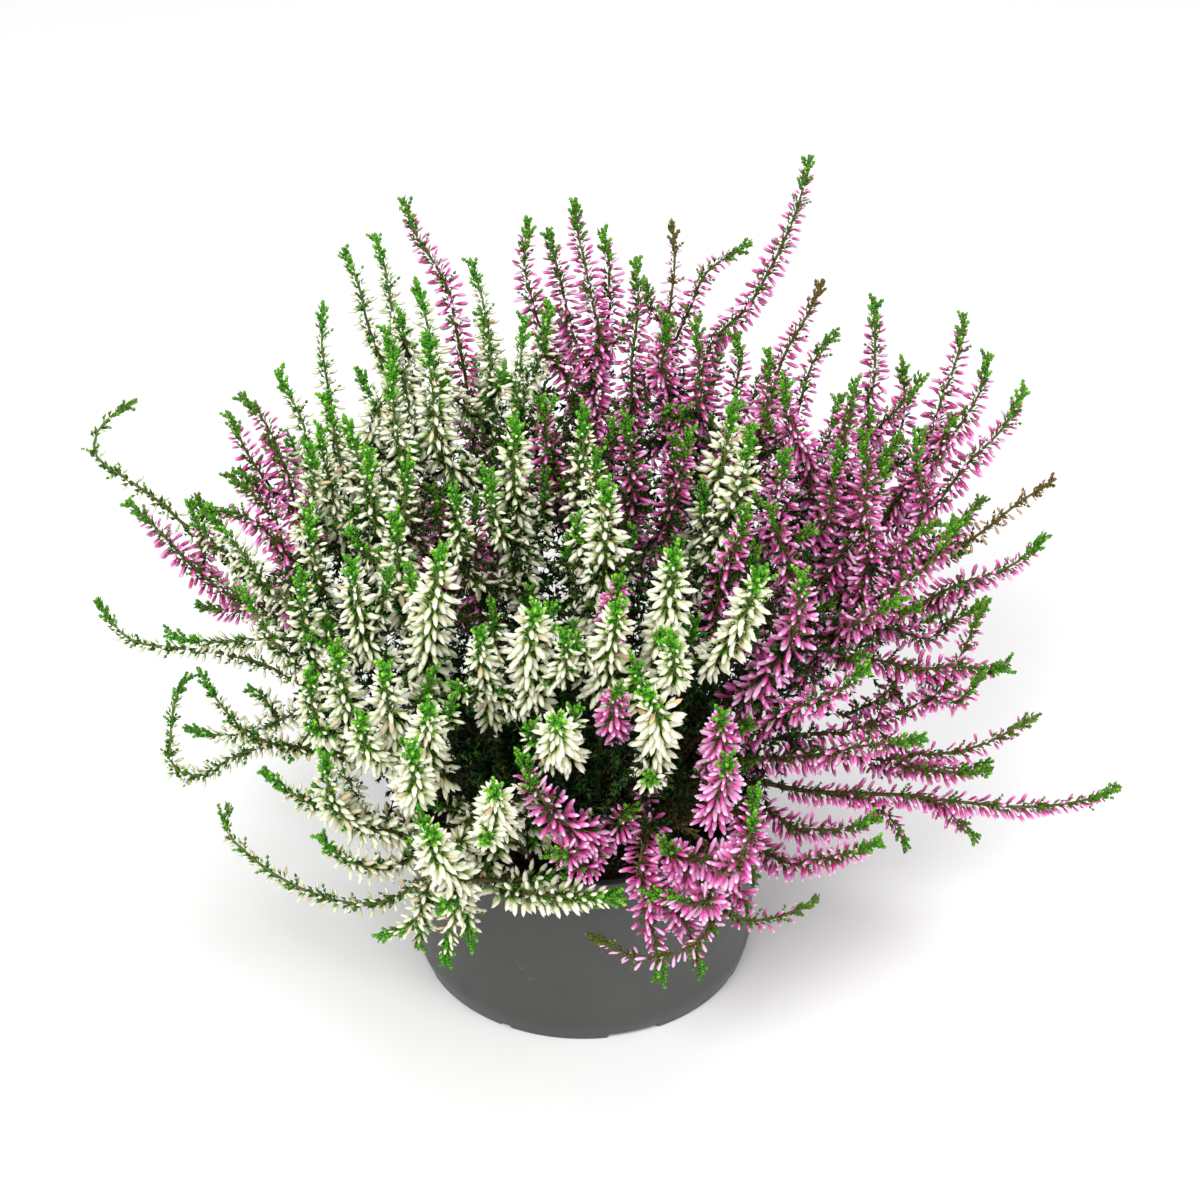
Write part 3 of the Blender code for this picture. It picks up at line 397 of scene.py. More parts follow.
def evenly(points, step):
    run = runOf(points)
    count = max(4, int(round(run[-1] / step)) + 1)
    at = np.linspace(0.0, run[-1], count)
    return np.stack([np.interp(at, run, points[:, axis]) for axis in range(3)], axis=1)


def throughPoints(start, startWay, points):
    # a smooth curve from start, leaving along startWay, through the given points
    chain = [start] + list(points)
    ways = []
    for i in range(len(chain)):
        if i == 0:
            ways.append(startWay)
        elif i == len(chain) - 1:
            if len(chain) > 2:
                ways.append(unit(chain[i] - chain[i - 1]))
            else:
                outward = unit(chain[i] - dome["middle"])
                ways.append(unit(0.62 * outward + 0.42 * np.array([0.0, 0.0, 1.0])))
        else:
            ways.append(unit(unit(chain[i] - chain[i - 1]) + unit(chain[i + 1] - chain[i])))
    pieces = []
    for i in range(len(chain) - 1):
        reach = float(np.linalg.norm(chain[i + 1] - chain[i]))
        leg = hermite(chain[i], chain[i + 1], ways[i] * reach, ways[i + 1] * reach, 14)
        pieces.append(leg if i == 0 else leg[1:])
    return np.concatenate(pieces)


def picturePoints(spike, foot):
    # the spike's points from its lowest to its tip, in space
    side = spike[0]
    places = spike[3:]
    tip = places[0]
    tipDepth = tip[2] if len(tip) == 3 else onDome(tip[0], tip[1], side)
    across, up, footDepth = viewed(foot)
    footAt = (sight["middle"] + across / sight["scale"], sight["middle"] - up / sight["scale"])
    flat = [(place[0], place[1]) for place in places] + [footAt]
    legs = [math.dist(flat[i], flat[i + 1]) for i in range(len(flat) - 1)]
    total = sum(legs)
    points = []
    gone = 0.0
    for i, place in enumerate(places):
        depth = place[2] if len(place) == 3 else tipDepth + (footDepth - tipDepth) * gone / total
        points.append(seen(place[0], place[1], depth))
        gone += legs[i]
    return points[::-1]


def footings():
    # where each spray is rooted: in the direction of its first tip, the outer ones nearer the wall
    names = []
    spots = []
    for name in sorted(sprays):
        places = picturePoints(sprays[name][0], dome["middle"])
        place = places[0]
        away = math.hypot(place[0], place[1])
        outward = math.hypot(places[-1][0], places[-1][1])
        reach = 38.0 if len(sprays[name][0][-1]) == 3 else 5.0 + 35.0 * min(1.0, outward / 140.0)
        names.append(name)
        spots.append([place[0] / away * reach, place[1] / away * reach])
    count = growth["farSprays"]
    for i in range(count):
        angle = math.radians(growth["farFrom"] + (growth["farTo"] - growth["farFrom"]) * (i + 0.5) / count)
        reach = 36.0 if i % 2 else 27.0
        names.append(("white" if math.cos(angle) < -0.1 else "pink") + "_far_%02d" % (i + 1))
        spots.append([math.cos(angle) * reach, math.sin(angle) * reach])
    spots = np.array(spots)
    for turn in range(growth["footSweeps"]):
        gap = spots[:, None] - spots[None]
        away = np.linalg.norm(gap, axis=2) + np.eye(len(spots)) * 99.0
        push = np.where(away < growth["footGap"], (growth["footGap"] - away) * 0.3, 0.0)
        spots = spots + (gap / away[..., None] * push[..., None]).sum(axis=1)
        out = np.linalg.norm(spots, axis=1)
        spots = spots * np.minimum(1.0, growth["footReach"] / out)[:, None]
    return dict(zip(names, spots))


def farSpike(index, which):
    height, aside, share = growth["farSpikes"][which][:3]
    turn = (index + 0.5 + aside) / growth["farSprays"]
    angle = math.radians(growth["farFrom"] + (growth["farTo"] - growth["farFrom"]) * turn)
    rise = math.radians(height + 6.0 * math.sin(index * 2.3 + which))
    way = np.array([math.cos(rise) * math.cos(angle), math.cos(rise) * math.sin(angle), math.sin(rise)])
    return dome["middle"] + way * dome["radii"] * share


def forkPlace(main, goal, wanted, forks):
    # where a spike leaves the first one: with little bend, at the wanted length and apart from other forks
    best = None
    for at in range(int(len(main) * forking["from"]), int(len(main) * forking["to"])):
        way = unit(main[at + 1] - main[at - 1])
        reachFor = goal - main[at]
        away = float(np.linalg.norm(reachFor))
        bend = 1.0 - float(way @ reachFor) / max(away, 1e-6)
        cost = bend * forking["bendCost"] + abs(away - wanted) * forking["lengthCost"]
        cost += sum(forking["closeCost"] for used in forks if abs(at - used) < forking["apart"])
        if best is None or cost < best[0]:
            best = (cost, at, way)
    return best[1], best[2]


def curvesOf(name, spot):
    # every spike of a spray: its points, bud reach, length in bud and where it forks from the first one
    foot = np.array([spot[0], spot[1], soil["top"] + 2.5])
    lean = unit(np.array([spot[0] * 0.010, spot[1] * 0.010, 1.0]))
    bottom = np.array([[spot[0], spot[1], soil["top"] - under] for under in (soil["holeDepth"], 4.0)])
    found = []
    if "_far_" in name:
        index = int(name[-2:]) - 1
        chosen = (0, 1 if index % 2 else 2, 3, 4, 5)
        rows = [growth["farSpikes"][which] for which in chosen]
        targets = [([farSpike(index, which)], row[3], row[4]) for which, row in zip(chosen, rows)]
    else:
        targets = [(picturePoints(spike, foot), spike[1], float(spike[2])) for spike in sprays[name]]
    main = None
    forks = []
    for points, reach, bloom in targets:
        if main is None:
            main = evenly(np.concatenate([bottom, throughPoints(foot, lean, points)]), growth["sampleStep"])
            found.append([main, reach, bloom, 0])
            continue
        wanted = bloom * 0.55 if len(points) > 1 else bloom
        at, way = forkPlace(main, points[0], wanted, forks)
        forks.append(at)
        aimed = unit(0.6 * way + 0.4 * unit(points[0] - main[at]))
        curve = throughPoints(main[at], aimed, points)
        found.append([evenly(curve, growth["sampleStep"]), reach, bloom, at])
    return found


def reachAt(curve, reach, bloom):
    run = runOf(curve)
    toTip = run[-1] - run
    wide = np.where(toTip < growth["tuftLength"], growth["tuftRadius"], reach + 0.3)
    return np.where(toTip > bloom + growth["tuftLength"], growth["stemRadius"] + growth["stemSway"], wide)


def nearPairs(points, allowed, limit):
    firsts = []
    seconds = []
    for start in range(0, len(points), 400):
        block = points[start:start + 400]
        away = np.linalg.norm(block[:, None] - points[None], axis=2)
        i, j = np.nonzero(away < limit)
        keep = allowed(i + start, j)
        firsts.append(i[keep] + start)
        seconds.append(j[keep])
    return np.concatenate(firsts), np.concatenate(seconds)


def bentClear(curves, sweeps):
    # sprays that would touch are bent apart, a little at a time, with their feet held
    step = growth["sampleStep"]
    points = np.concatenate([curve[0] for curve in curves])
    reach = np.concatenate([reachAt(curve[0], curve[1], curve[2]) for curve in curves])
    owner = np.concatenate([np.full(len(curve[0]), curve[4]) for curve in curves])
    strand = np.concatenate([np.full(len(curve[0]), k) for k, curve in enumerate(curves)])
    firsts = np.concatenate([[0], np.cumsum([len(curve[0]) for curve in curves])])
    home = points.copy()
    hold = np.ones(len(points))
    free = np.zeros(len(points), bool)
    clearOfFork = int(bending["forkLength"] / step)
    mains = {curve[4]: k for k, curve in enumerate(curves) if curve[3] == 0}
    forks = {number: max([c[3] for c in curves if c[4] == number]) for number in mains}
    for k, curve in enumerate(curves):
        if curve[3] == 0:
            buried = int(math.ceil((soil["holeDepth"] + 2.5) / step)) + 1
            hold[firsts[k]:firsts[k] + buried] = 0.0
            hold[firsts[k] + buried] = 0.4
            free[firsts[k] + forks[curve[4]] + clearOfFork:firsts[k + 1]] = True
        else:
            free[firsts[k] + clearOfFork:firsts[k + 1]] = True

    def allowed(i, j):
        return (owner[i] != owner[j]) | ((strand[i] != strand[j]) & free[i] & free[j])

    for turn in range(sweeps):
        if turn % bending["renewed"] == 0:
            i, j = nearPairs(points, allowed, bending["near"])
            need = reach[i] + reach[j] + np.where(owner[i] == owner[j], bending["own"], growth["keepClear"])
        gap = points[i] - points[j]
        size = np.maximum(np.linalg.norm(gap, axis=1), 0.2)
        push = gap / size[:, None] * (np.maximum(0.0, need - size) * bending["push"])[:, None]
        shift = np.zeros_like(points)
        for axis in range(3):
            shift[:, axis] = np.bincount(i, push[:, axis], len(points))
        number = np.bincount(i, need > size, len(points))
        shift = shift / np.maximum(1.0, number ** 0.6)[:, None]
        shift += (home - points) * bending["homeward"]
        around = np.hypot(points[:, 0], points[:, 1])
        over = np.clip(pot["lipRadius"] + reach + 1.2 - around, 0.0, None)
        inside = np.clip(around - (pot["wallTopRadius"] - pot["wallThickness"] - 1.5 - reach), 0.0, None)
        low = np.clip(pot["height"] + reach + 1.0 - points[:, 2], 0.0, None)
        beside = (low > 0.0) & (over > 0.0) & (inside > 0.0)
        outer = beside & (over < low)
        upper = beside & ~outer
        shift[upper, 2] += low[upper] * bending["rimPush"]
        aside = points[outer, :2] / around[outer, None]
        shift[outer, :2] += aside * (over[outer] * bending["rimPush"])[:, None]
        for k in range(len(curves)):
            part = shift[firsts[k]:firsts[k + 1]]
            for again in range(bending["softened"]):
                part = smoothed(part)
            shift[firsts[k]:firsts[k + 1]] = part * hold[firsts[k]:firsts[k + 1], None]
        points = points + shift
        for k, curve in enumerate(curves):
            if curve[3]:
                slip = points[firsts[mains[curve[4]]] + curve[3]] - points[firsts[k]]
                count = min(12, firsts[k + 1] - firsts[k])
                points[firsts[k]:firsts[k] + count] += slip * np.linspace(1.0, 0.0, count)[:, None]
    return [points[firsts[k]:firsts[k + 1]] for k in range(len(curves))]


def framesOf(curve):
    # directions square to the curve that don't spin about it
    ways = units(np.gradient(curve, axis=0))
    side = np.array([1.0, 0.0, 0.0])
    sides = []
    for way in ways:
        side = unit(side - way * float(side @ way))
        sides.append(side)
    return ways, np.array(sides)


def squared(side, way):
    # the sides turned square to their ways
    return units(side - way * np.sum(side * way, axis=1, keepdims=True))


def turned(side, cross, angle):
    return side * np.cos(angle)[:, None] + cross * np.sin(angle)[:, None]


# forms that are repeated, drawn along +Z with a length and a radius of 1
def spindle(sides, rings):
    # along is 0 on the stalk, below z = 0, and 1 at the tip
    points = [(0.0, 0.0, rings[0][0])]
    along = [0.0]
    faces = []
    last = rings[-1][0]
    for z, radius in rings[1:-1]:
        for i in range(sides):
            angle = 2.0 * math.pi * i / sides
            points.append((radius * math.cos(angle), radius * math.sin(angle), z))
            along.append(max(0.0, z / last))
    points.append((0.0, 0.0, last))
    along.append(1.0)
    top = len(points) - 1
    for i in range(sides):
        j = (i + 1) % sides
        faces.append((0, 1 + j, 1 + i))
        for ring in range(len(rings) - 3):
            a, b = 1 + ring * sides + i, 1 + ring * sides + j
            faces += [(a, b, b + sides), (a, b + sides, a + sides)]
        faces.append((top - sides + i, top - sides + j, top))
    return {"points": np.array(points), "faces": np.array(faces), "along": np.array(along)}


def needle(keel):
    # a leaf with a keel under it and two flat facets above
    points = np.array([(0.0, 0.0, 0.0), (1.0, keel, 0.42), (-1.0, keel, 0.42), (0.0, 0.0, 1.0)])
    faces = np.array([(0, 2, 1), (0, 1, 3), (0, 3, 2), (1, 2, 3)])
    return {"points": points, "faces": faces, "along": np.array([0.0, 0.42, 0.42, 1.0])}


forms = {
    "white_full": spindle(5, [(-0.48, 0.0), (0.02, 0.34), (0.34, 1.0), (0.74, 0.72), (1.0, 0.0)]),
    "white_small": spindle(4, [(-0.42, 0.0), (0.26, 1.0), (0.70, 0.86), (1.0, 0.0)]),
    "pink_full": spindle(5, [(-0.42, 0.0), (0.04, 0.46), (0.50, 1.0), (0.88, 0.60), (1.0, 0.0)]),
    "pink_small": spindle(4, [(-0.38, 0.0), (0.22, 0.88), (0.78, 0.90), (1.0, 0.0)]),
    "leaf": needle(0.7),
    "scale": spindle(3, [(0.0, 0.0), (0.52, 1.0), (1.0, 0.0)]),
    "twig": spindle(3, [(-0.02, 0.0), (0.04, 1.0), (1.0, 0.0)]),
    "crumb": spindle(6, [(-0.5, 0.0), (-0.28, 0.8), (0.2, 1.0), (0.5, 0.0)]),
}


def linked(name, data):
    thing = bpy.data.objects.new(name, data)
    bpy.context.scene.collection.objects.link(thing)
    return thing


def plainMesh(name, points, faces, material):
    mesh = bpy.data.meshes.new(name)
    mesh.from_pydata(points, [], faces)
    mesh.materials.append(material)
    return linked(name, mesh)


class Cluster:
    # gathers repeats until they become one mesh
    def __init__(self):
        self.points, self.faces, self.slots, self.along, self.tint = [], [], [], [], []
        self.size = 0

    def take(self, points, faces, slot, along, tint):
        self.points.append(points)
        self.faces.append(faces + self.size)
        self.slots.append(np.full(len(faces), slot))
        self.along.append(along)
        self.tint.append(tint)
        self.size += len(points)

    def repeat(self, form, centre, way, side, length, width, slot, tint, freshAndShade=None):
        if not len(centre):
            return
        shape = forms[form]
        side = squared(side, way)
        cross = np.cross(way, side)
        local = shape["points"]
        count, size = len(centre), len(local)
        points = (centre[:, None] + side[:, None] * (local[None, :, :1] * width[:, None, None])
                  + cross[:, None] * (local[None, :, 1:2] * width[:, None, None])
                  + way[:, None] * (local[None, :, 2:] * length[:, None, None]))
        faces = shape["faces"][None] + (np.arange(count) * size)[:, None, None]
        if freshAndShade is None:
            along = np.tile(shape["along"], count)
        else:
            along = (freshAndShade[:, None] + 0.18 * (shape["along"][None] - 0.5)).ravel()
        self.take(points.reshape(-1, 3), faces.reshape(-1, 3), slot, along, np.repeat(tint, size))

    def tube(self, curve, radii, sides, slot, along, tint):
        ways, across = framesOf(curve)
        cross = np.cross(ways, across)
        angles = 2.0 * math.pi * np.arange(sides) / sides
        rings = (curve[:, None] + across[:, None] * (np.cos(angles)[None, :, None] * radii[:, None, None])
                 + cross[:, None] * (np.sin(angles)[None, :, None] * radii[:, None, None]))
        count = len(curve)
        points = np.concatenate([rings.reshape(-1, 3), curve[:1], curve[-1:] + ways[-1:] * radii[-1]])
        faces = []
        for i in range(sides):
            j = (i + 1) % sides
            a = np.arange(count - 1) * sides + i
            b = np.arange(count - 1) * sides + j
            faces += [np.stack([a, b, b + sides], 1), np.stack([a, b + sides, a + sides], 1)]
            faces.append(np.array([[count * sides, j, i]]))
            faces.append(np.array([[(count - 1) * sides + i, (count - 1) * sides + j, count * sides + 1]]))
        full = np.concatenate([np.repeat(along, sides), along[:1], along[-1:]])
        self.take(points, np.concatenate(faces), slot, full, np.full(len(points), tint))

    def piece(self, name, materials):
        points = np.concatenate(self.points) * mm
        faces = np.concatenate(self.faces).astype(np.int32)
        mesh = bpy.data.meshes.new(name)
        mesh.vertices.add(len(points))
        mesh.vertices.foreach_set("co", points.astype(np.float32).ravel())
        mesh.loops.add(len(faces) * 3)
        mesh.loops.foreach_set("vertex_index", faces.ravel())
        mesh.polygons.add(len(faces))
        mesh.polygons.foreach_set("loop_start", np.arange(len(faces), dtype=np.int32) * 3)
        mesh.polygons.foreach_set("material_index", np.concatenate(self.slots).astype(np.int32))
        mesh.polygons.foreach_set("use_smooth", np.ones(len(faces), bool))
        for key, values in (("along", self.along), ("tint", self.tint)):
            carried = mesh.attributes.new(key, "FLOAT", "POINT")
            carried.data.foreach_set("value", np.concatenate(values).astype(np.float32))
        for material in materials:
            mesh.materials.append(material)
        mesh.update(calc_edges=True)
        return linked(name, mesh)


class Wire:
    # one output in a material, so that shader maths reads as a plain expression
    def __init__(self, tree, socket=None):
        self.tree = tree
        self.socket = socket

    def node(self, kind, settings=None, sockets=None, output=0):
        made = self.tree.nodes.new(kind)
        for key, value in (settings or {}).items():
            if key == "stops":
                ramp = made.color_ramp
                for stop, (place, colour) in enumerate(value):
                    if stop < 2:
                        ramp.elements[stop].position = place
                    element = ramp.elements[stop] if stop < 2 else ramp.elements.new(place)
                    element.color = (*colour, 1.0)
            else:
                setattr(made, key, value)
        for key, value in (sockets or {}).items():
            if isinstance(value, Wire):
                self.tree.links.new(value.socket, made.inputs[key])
            else:
                made.inputs[key].default_value = value
        return Wire(self.tree, made.outputs[output])

    def maths(self, operation, other, swapped=False):
        first, second = (other, self) if swapped else (self, other)
        return self.node("ShaderNodeMath", {"operation": operation}, {0: first, 1: second})

    def __add__(self, other):
        return self.maths("ADD", other)

    def __radd__(self, other):
        return self.maths("ADD", other, True)

    def __sub__(self, other):
        return self.maths("SUBTRACT", other)

    def __rsub__(self, other):
        return self.maths("SUBTRACT", other, True)

    def __mul__(self, other):
        return self.maths("MULTIPLY", other)

    def __rmul__(self, other):
        return self.maths("MULTIPLY", other, True)

    def attribute(self, name):
        return self.node("ShaderNodeAttribute", {"attribute_name": name}, output=2)

    def noise(self, scale, detail, rough=0.55):
        place = self.node("ShaderNodeTexCoord", output=3)
        sockets = {"Scale": scale, "Detail": detail, "Roughness": rough, "Vector": place}
        return self.node("ShaderNodeTexNoise", {"noise_dimensions": "3D"}, sockets)

    def between(self, low, high):
        # 0 below low, 1 above high
        return self.node("ShaderNodeMapRange", {"clamp": True}, {0: self, 1: low, 2: high})

    def ramp(self, *stops):
        return self.node("ShaderNodeValToRGB", {"stops": stops}, {0: self})

    def mixed(self, share, first, second):
        sockets = {0: share}
        sockets[6] = first if isinstance(first, Wire) else (*first, 1.0)
        sockets[7] = second if isinstance(second, Wire) else (*second, 1.0)
        return self.node("ShaderNodeMix", {"data_type": "RGBA"}, sockets, 2)

    def bump(self, strength, distance):
        return self.node("ShaderNodeBump", {}, {"Strength": strength, "Distance": distance, "Height": self})


def shade(red, green, blue):
    # a colour as a screen shows it, 0 to 255, in linear light
    parts = [value / 255.0 for value in (red, green, blue)]
    return tuple(p / 12.92 if p <= 0.04045 else ((p + 0.055) / 1.055) ** 2.4 for p in parts)


def newMaterial(name, roughness, specular):
    material = bpy.data.materials.new(name)
    material.use_nodes = True
    shader = material.node_tree.nodes["Principled BSDF"]
    shader.inputs["Roughness"].default_value = roughness
    shader.inputs["Specular IOR Level"].default_value = specular
    return material, shader, Wire(material.node_tree)


def feed(shader, **wires):
    for name, wire in wires.items():
        socket = {"colour": "Base Color", "roughness": "Roughness", "normal": "Normal"}[name]
        wire.tree.links.new(wire.socket, shader.inputs[socket])


def barkFinish():
    material, shader, wire = newMaterial("heather_bark", 0.75, 0.12)
    young = wire.attribute("along")
    grain = wire.noise(900.0, 4.0, 0.6)
    colour = young.ramp((0.0, shade(46, 33, 22)), (0.35, shade(78, 68, 36)), (0.6, shade(88, 98, 42)),
                        (1.0, shade(104, 134, 54)))
    worn = wire.mixed(grain.between(0.45, 0.7) * 0.40, colour, shade(134, 128, 80))
    feed(shader, colour=worn, normal=grain.bump(0.5, 0.0004))
    return material


def leafFinish():
    material, shader, wire = newMaterial("heather_leaf", 0.55, 0.12)
    # how light a leaf is: the near-black low end of the ramp is painted shade for the leaves deep inside the
    # plant, together with their own dark green
    freshAndShade = wire.attribute("along") + (wire.noise(420.0, 2.0) - 0.5) * 0.22
    green = freshAndShade.ramp((0.0, shade(4, 14, 6)), (0.30, shade(18, 52, 16)), (0.62, shade(60, 134, 30)),
                       (0.88, shade(112, 188, 46)), (1.0, shade(164, 212, 84)))
    brown = wire.attribute("tint").between(0.0, 1.0)
    olive = wire.mixed(brown, green, shade(104, 84, 40))
    fine = wire.noise(2600.0, 2.0)
    feed(shader, colour=olive, normal=fine.bump(0.35, 0.0002))
    return material


def whiteFinish():
    material, shader, wire = newMaterial("ivory_bud", 0.55, 0.22)
    along = wire.attribute("along")
    dry = wire.attribute("tint")
    streak = wire.noise(1500.0, 2.0, 0.6)
    petal = along.ramp((0.0, shade(104, 138, 46)), (0.12, shade(160, 178, 92)), (0.30, shade(228, 229, 196)),
                       (0.85, shade(248, 247, 230)), (1.0, shade(236, 230, 198)))
    greened = wire.mixed(dry.between(0.32, 0.0) * 0.75, petal, shade(190, 204, 130))
    tanned = wire.mixed(dry.between(0.62, 1.0), greened, shade(212, 180, 132))
    mottled = wire.mixed(streak.between(0.5, 0.78) * 0.35, tanned, shade(214, 212, 168))
    feed(shader, colour=mottled, normal=streak.bump(0.3, 0.0002))
    return material


def pinkFinish():
    material, shader, wire = newMaterial("magenta_bud", 0.45, 0.28)
    along = wire.attribute("along")
    pale = wire.attribute("tint")
    streak = wire.noise(1500.0, 2.0, 0.6)
    # the near-white tips at the ramp's end are partly the buds' own pale tips and partly a painted highlight
    petal = along.ramp((0.0, shade(92, 84, 38)), (0.10, shade(150, 34, 84)), (0.35, shade(200, 56, 140)),
                       (0.68, shade(230, 120, 194)), (0.88, shade(252, 208, 240)),
                       (1.0, shade(255, 236, 250)))
    deep = wire.mixed(pale.between(0.40, 0.0) * 0.7, petal, shade(134, 16, 70))
    light = wire.mixed(pale.between(0.55, 0.95) * 0.75, deep, shade(250, 206, 238))
    streaked = wire.mixed(streak.between(0.5, 0.75) * 0.4, light, shade(240, 176, 220))
    mottled = wire.mixed(pale.between(1.2, 1.9), streaked, shade(186, 150, 104))  # withered ones
    feed(shader, colour=mottled, normal=streak.bump(0.3, 0.0002))
    return material


def potFinish():
    material, shader, wire = newMaterial("pot_plastic", pot["roughness"], 0.45)
    cloud = wire.noise(26.0, 4.0)
    fine = wire.noise(1400.0, 3.0, 0.6)
    scuff = wire.noise(95.0, 6.0, 0.72)
    base = wire.mixed(cloud.between(0.3, 0.75), pot["colour"], tuple(value * 1.3 for value in pot["colour"]))
    marked = wire.mixed(scuff.between(0.62, 0.72) * 0.35, base, shade(128, 128, 124))
    dusty = wire.mixed(fine.between(0.66, 0.8) * 0.25, marked, shade(140, 138, 130))
    rough = scuff.between(0.5, 0.75) * 0.22 + 0.36
    feed(shader, colour=dusty, roughness=rough, normal=(fine * 0.4 + cloud).bump(0.12, 0.0006))
    return material


def soilFinish():
    material, shader, wire = newMaterial("peat", 0.95, 0.2)
    clod = wire.noise(240.0, 5.0, 0.65)
    fibre = wire.noise(900.0, 4.0, 0.6)
    colour = clod.ramp((0.3, shade(22, 15, 10)), (0.6, shade(48, 34, 23)), (0.8, shade(86, 62, 42)))
    feed(shader, colour=colour, normal=(clod + fibre * 0.5).bump(0.8, 0.0012))
    return material


def floorFinish():
    material, shader, wire = newMaterial("studio_floor", 0.6, 0.2)
    cloud = wire.noise(3.0, 2.0)
    feed(shader, colour=wire.mixed(cloud, (0.90, 0.90, 0.90), (0.93, 0.93, 0.93)))
    return material


bark, leaf, whiteBud, pinkBud = barkFinish(), leafFinish(), whiteFinish(), pinkFinish()
print("finishes mixed")

down = np.array([0.0, 0.0, -1.0])
goldenTurn = 2.399963
spike = {
    "budDensity": {"white": 1.75, "pink": 1.95},  # a millimetre of a full spike
    "budLength": (2.7, 5.7),
    "budWidth": {"white": 0.190, "pink": 0.180},  # radius as a share of the length
    "lift": {"white": (-0.55, 0.05, 0.95), "pink": (-0.25, 0.10, 0.85)},  # low, middle and top of the spike
    "hang": {"white": 0.35, "pink": 0.80},
    "stalk": (0.30, 0.52),  # bud base from the stem, as a share of the bud
    "bracts": 0.50,
    "axisLeaf": 1.3,  # a millimetre
    "greenShoots": (0.30, 0.08),  # a millimetre, among the buds of a thin and of a full spike
    "tuftShoots": 10,
    "tuftShoot": (3.2, 4.8),
    "tuftLeaf": 1.75,
    "tuftLeafWidth": 0.50,
    "tuftGap": 0.95,
    "fullFrom": 5.5,  # bud reach from which the buds have the fuller form
    "darkLeafWidth": 0.20,
    "low": {"spacing": 3.4, "length": (18.0, 32.0), "leaf": 4.2, "pairGap": 2.9},  # the dark shoots
    "upper": {"spacing": 5.6, "length": (11.0, 19.0), "leaf": 3.2, "pairGap": 2.3},
    "innerWithin": 0.76,  # share of the dome that they stay in
    "innerFoot": 48.0,  # their furthest from the pot's middle at the soil, and how it grows upwards
    "innerFlare": 0.66,
    "sideSpikes": 2,
    "sideFrom": 44.0,  # the shortest length in bud of a spike that carries side spikes
    "sideLength": (17.0, 26.0),
    "sideBloom": 15.0,
    "sideReach": 4.2,  # at least
    "sideUp": 26.0,  # the least way up the spike
    "sideOver": 12.0,  # height over the pot's lip from which they may stand anywhere
    "sideBeyond": 68.0,  # where they are lower, the least distance from the pot's middle and the least height
    "sideLowest": 44.0,
    "withered": 0.025,  # share of the buds
}
# long single sprigs that stand or hang free, without side spikes
singles = {"white_01", "white_08", "white_09", "white_10", "pink_12", "pink_25", "pink_14", "pink_03"}
# sprigs unlike the rest: share of the buds, how brown the leaves are, tint of the buds
unlike = {
    ("white_01", 0): (0.35, 0.20, None),
    ("white_08", 0): (0.75, 0.10, None),
    ("pink_11", 0): (0.50, 0.40, 0.5),
    ("pink_10", 0): (0.80, 0.25, 0.5),
    ("pink_14", 0): (0.45, 0.10, 0.5),
    ("pink_14", 1): (0.50, 0.45, 1.0),
    ("pink_08", 0): (0.55, 1.00, 2.0),
    ("pink_02", 1): (0.60, 0.55, 1.25),
    ("pink_04", 0): (0.80, 0.75, 0.5),
    ("white_10", 0): (0.80, 0.20, None),
}
# share of the withered buds where they are many
dryShare = {"white_10": 0.22, "white_13": 0.12, "white_15": 0.20, "white_09": 0.10}
# more side growth, by picture points from the tip to the spray that carries it: bud reach and length in bud,
# or 0, 0 for a bare leafy twig
extras = {
    "white_15": (
        (5.2, 24, (418, 950, 2), (421, 926, -5), (431, 903, -14)),
        (5.4, 24, (472, 948, -20), (468, 924, -22), (468, 900, -26)),
    ),
    "white_16": (
        (5.8, 34, (572, 872, -26), (545, 879, -28), (512, 882, -27)),
        (6.2, 38, (624, 899, -42), (588, 897, -38), (540, 895, -34), (505, 892, -30)),
    ),
    "pink_14": (
        (5.4, 26, (748, 916, -4), (741, 896, -12), (728, 884, -20)),
        (5.4, 26, (755, 884, 0), (747, 866, -8), (732, 856, -20)),
        (5.0, 20, (716, 936, -22), (712, 914, -25), (706, 896, -28)),
    ),
    "pink_09": (
        (0, 0, (908, 612), (935, 602), (952, 595)),
        (0, 0, (945, 629), (938, 611), (940, 598)),
        (0, 0, (919, 628), (911, 613), (914, 600)),
        (0, 0, (950, 622), (957, 611), (962, 598)),
    ),
    "pink_10": (
        (0, 0, (877, 652), (889, 674), (899, 700)),
        (0, 0, (904, 644), (892, 655), (887, 670), (897, 699)),
        (0, 0, (909, 666), (902, 675), (893, 677), (899, 700)),
        (0, 0, (927, 676), (905, 677), (895, 682), (901, 700)),
    ),
}
# short spikes that close the middle of the crown; level is their height as a share of the dome's
crown = {"tries": 500, "most": 28, "within": 64.0, "level": 0.68, "uneven": 11.0, "apart": 15.0, "clear": 8.0,
         "below": 44.0, "length": (22.0, 80.0), "reach": 5.0, "bloom": 22.0}
# the dark shoots that fill the voids between the stems; their near-black leaves are partly real foliage and
# partly painted shade for the plant's inside
thicket = {"tries": 30000, "within": (0.22, 0.80), "lowest": 71.0, "void": (5.0, 26.0), "apart": 6.3,
           "most": 850, "beyond": 6.0, "pairGap": 2.1, "leaf": 3.4, "leafWidth": 0.23}


def softened(curve, step):
    fine = evenly(curve, step)
    for again in range(4):
        fine = smoothed(fine)
    return fine


def overRim(starts, ways, lengths):
    # side shoots near the pot's lip turn up and inwards, clear of it
    ends = starts + ways * lengths[:, None]
    away = np.hypot(ends[:, 0], ends[:, 1])
    meets = (away > pot["wallTopRadius"] - 5.0) & (np.minimum(starts[:, 2], ends[:, 2]) < pot["height"] + 4.0)
    meets &= np.hypot(starts[:, 0], starts[:, 1]) < pot["lipRadius"]
    inward = -starts / 90.0
    inward[:, 2] = 1.0
    return np.where(meets[:, None], units(inward + ways * 0.15), ways)


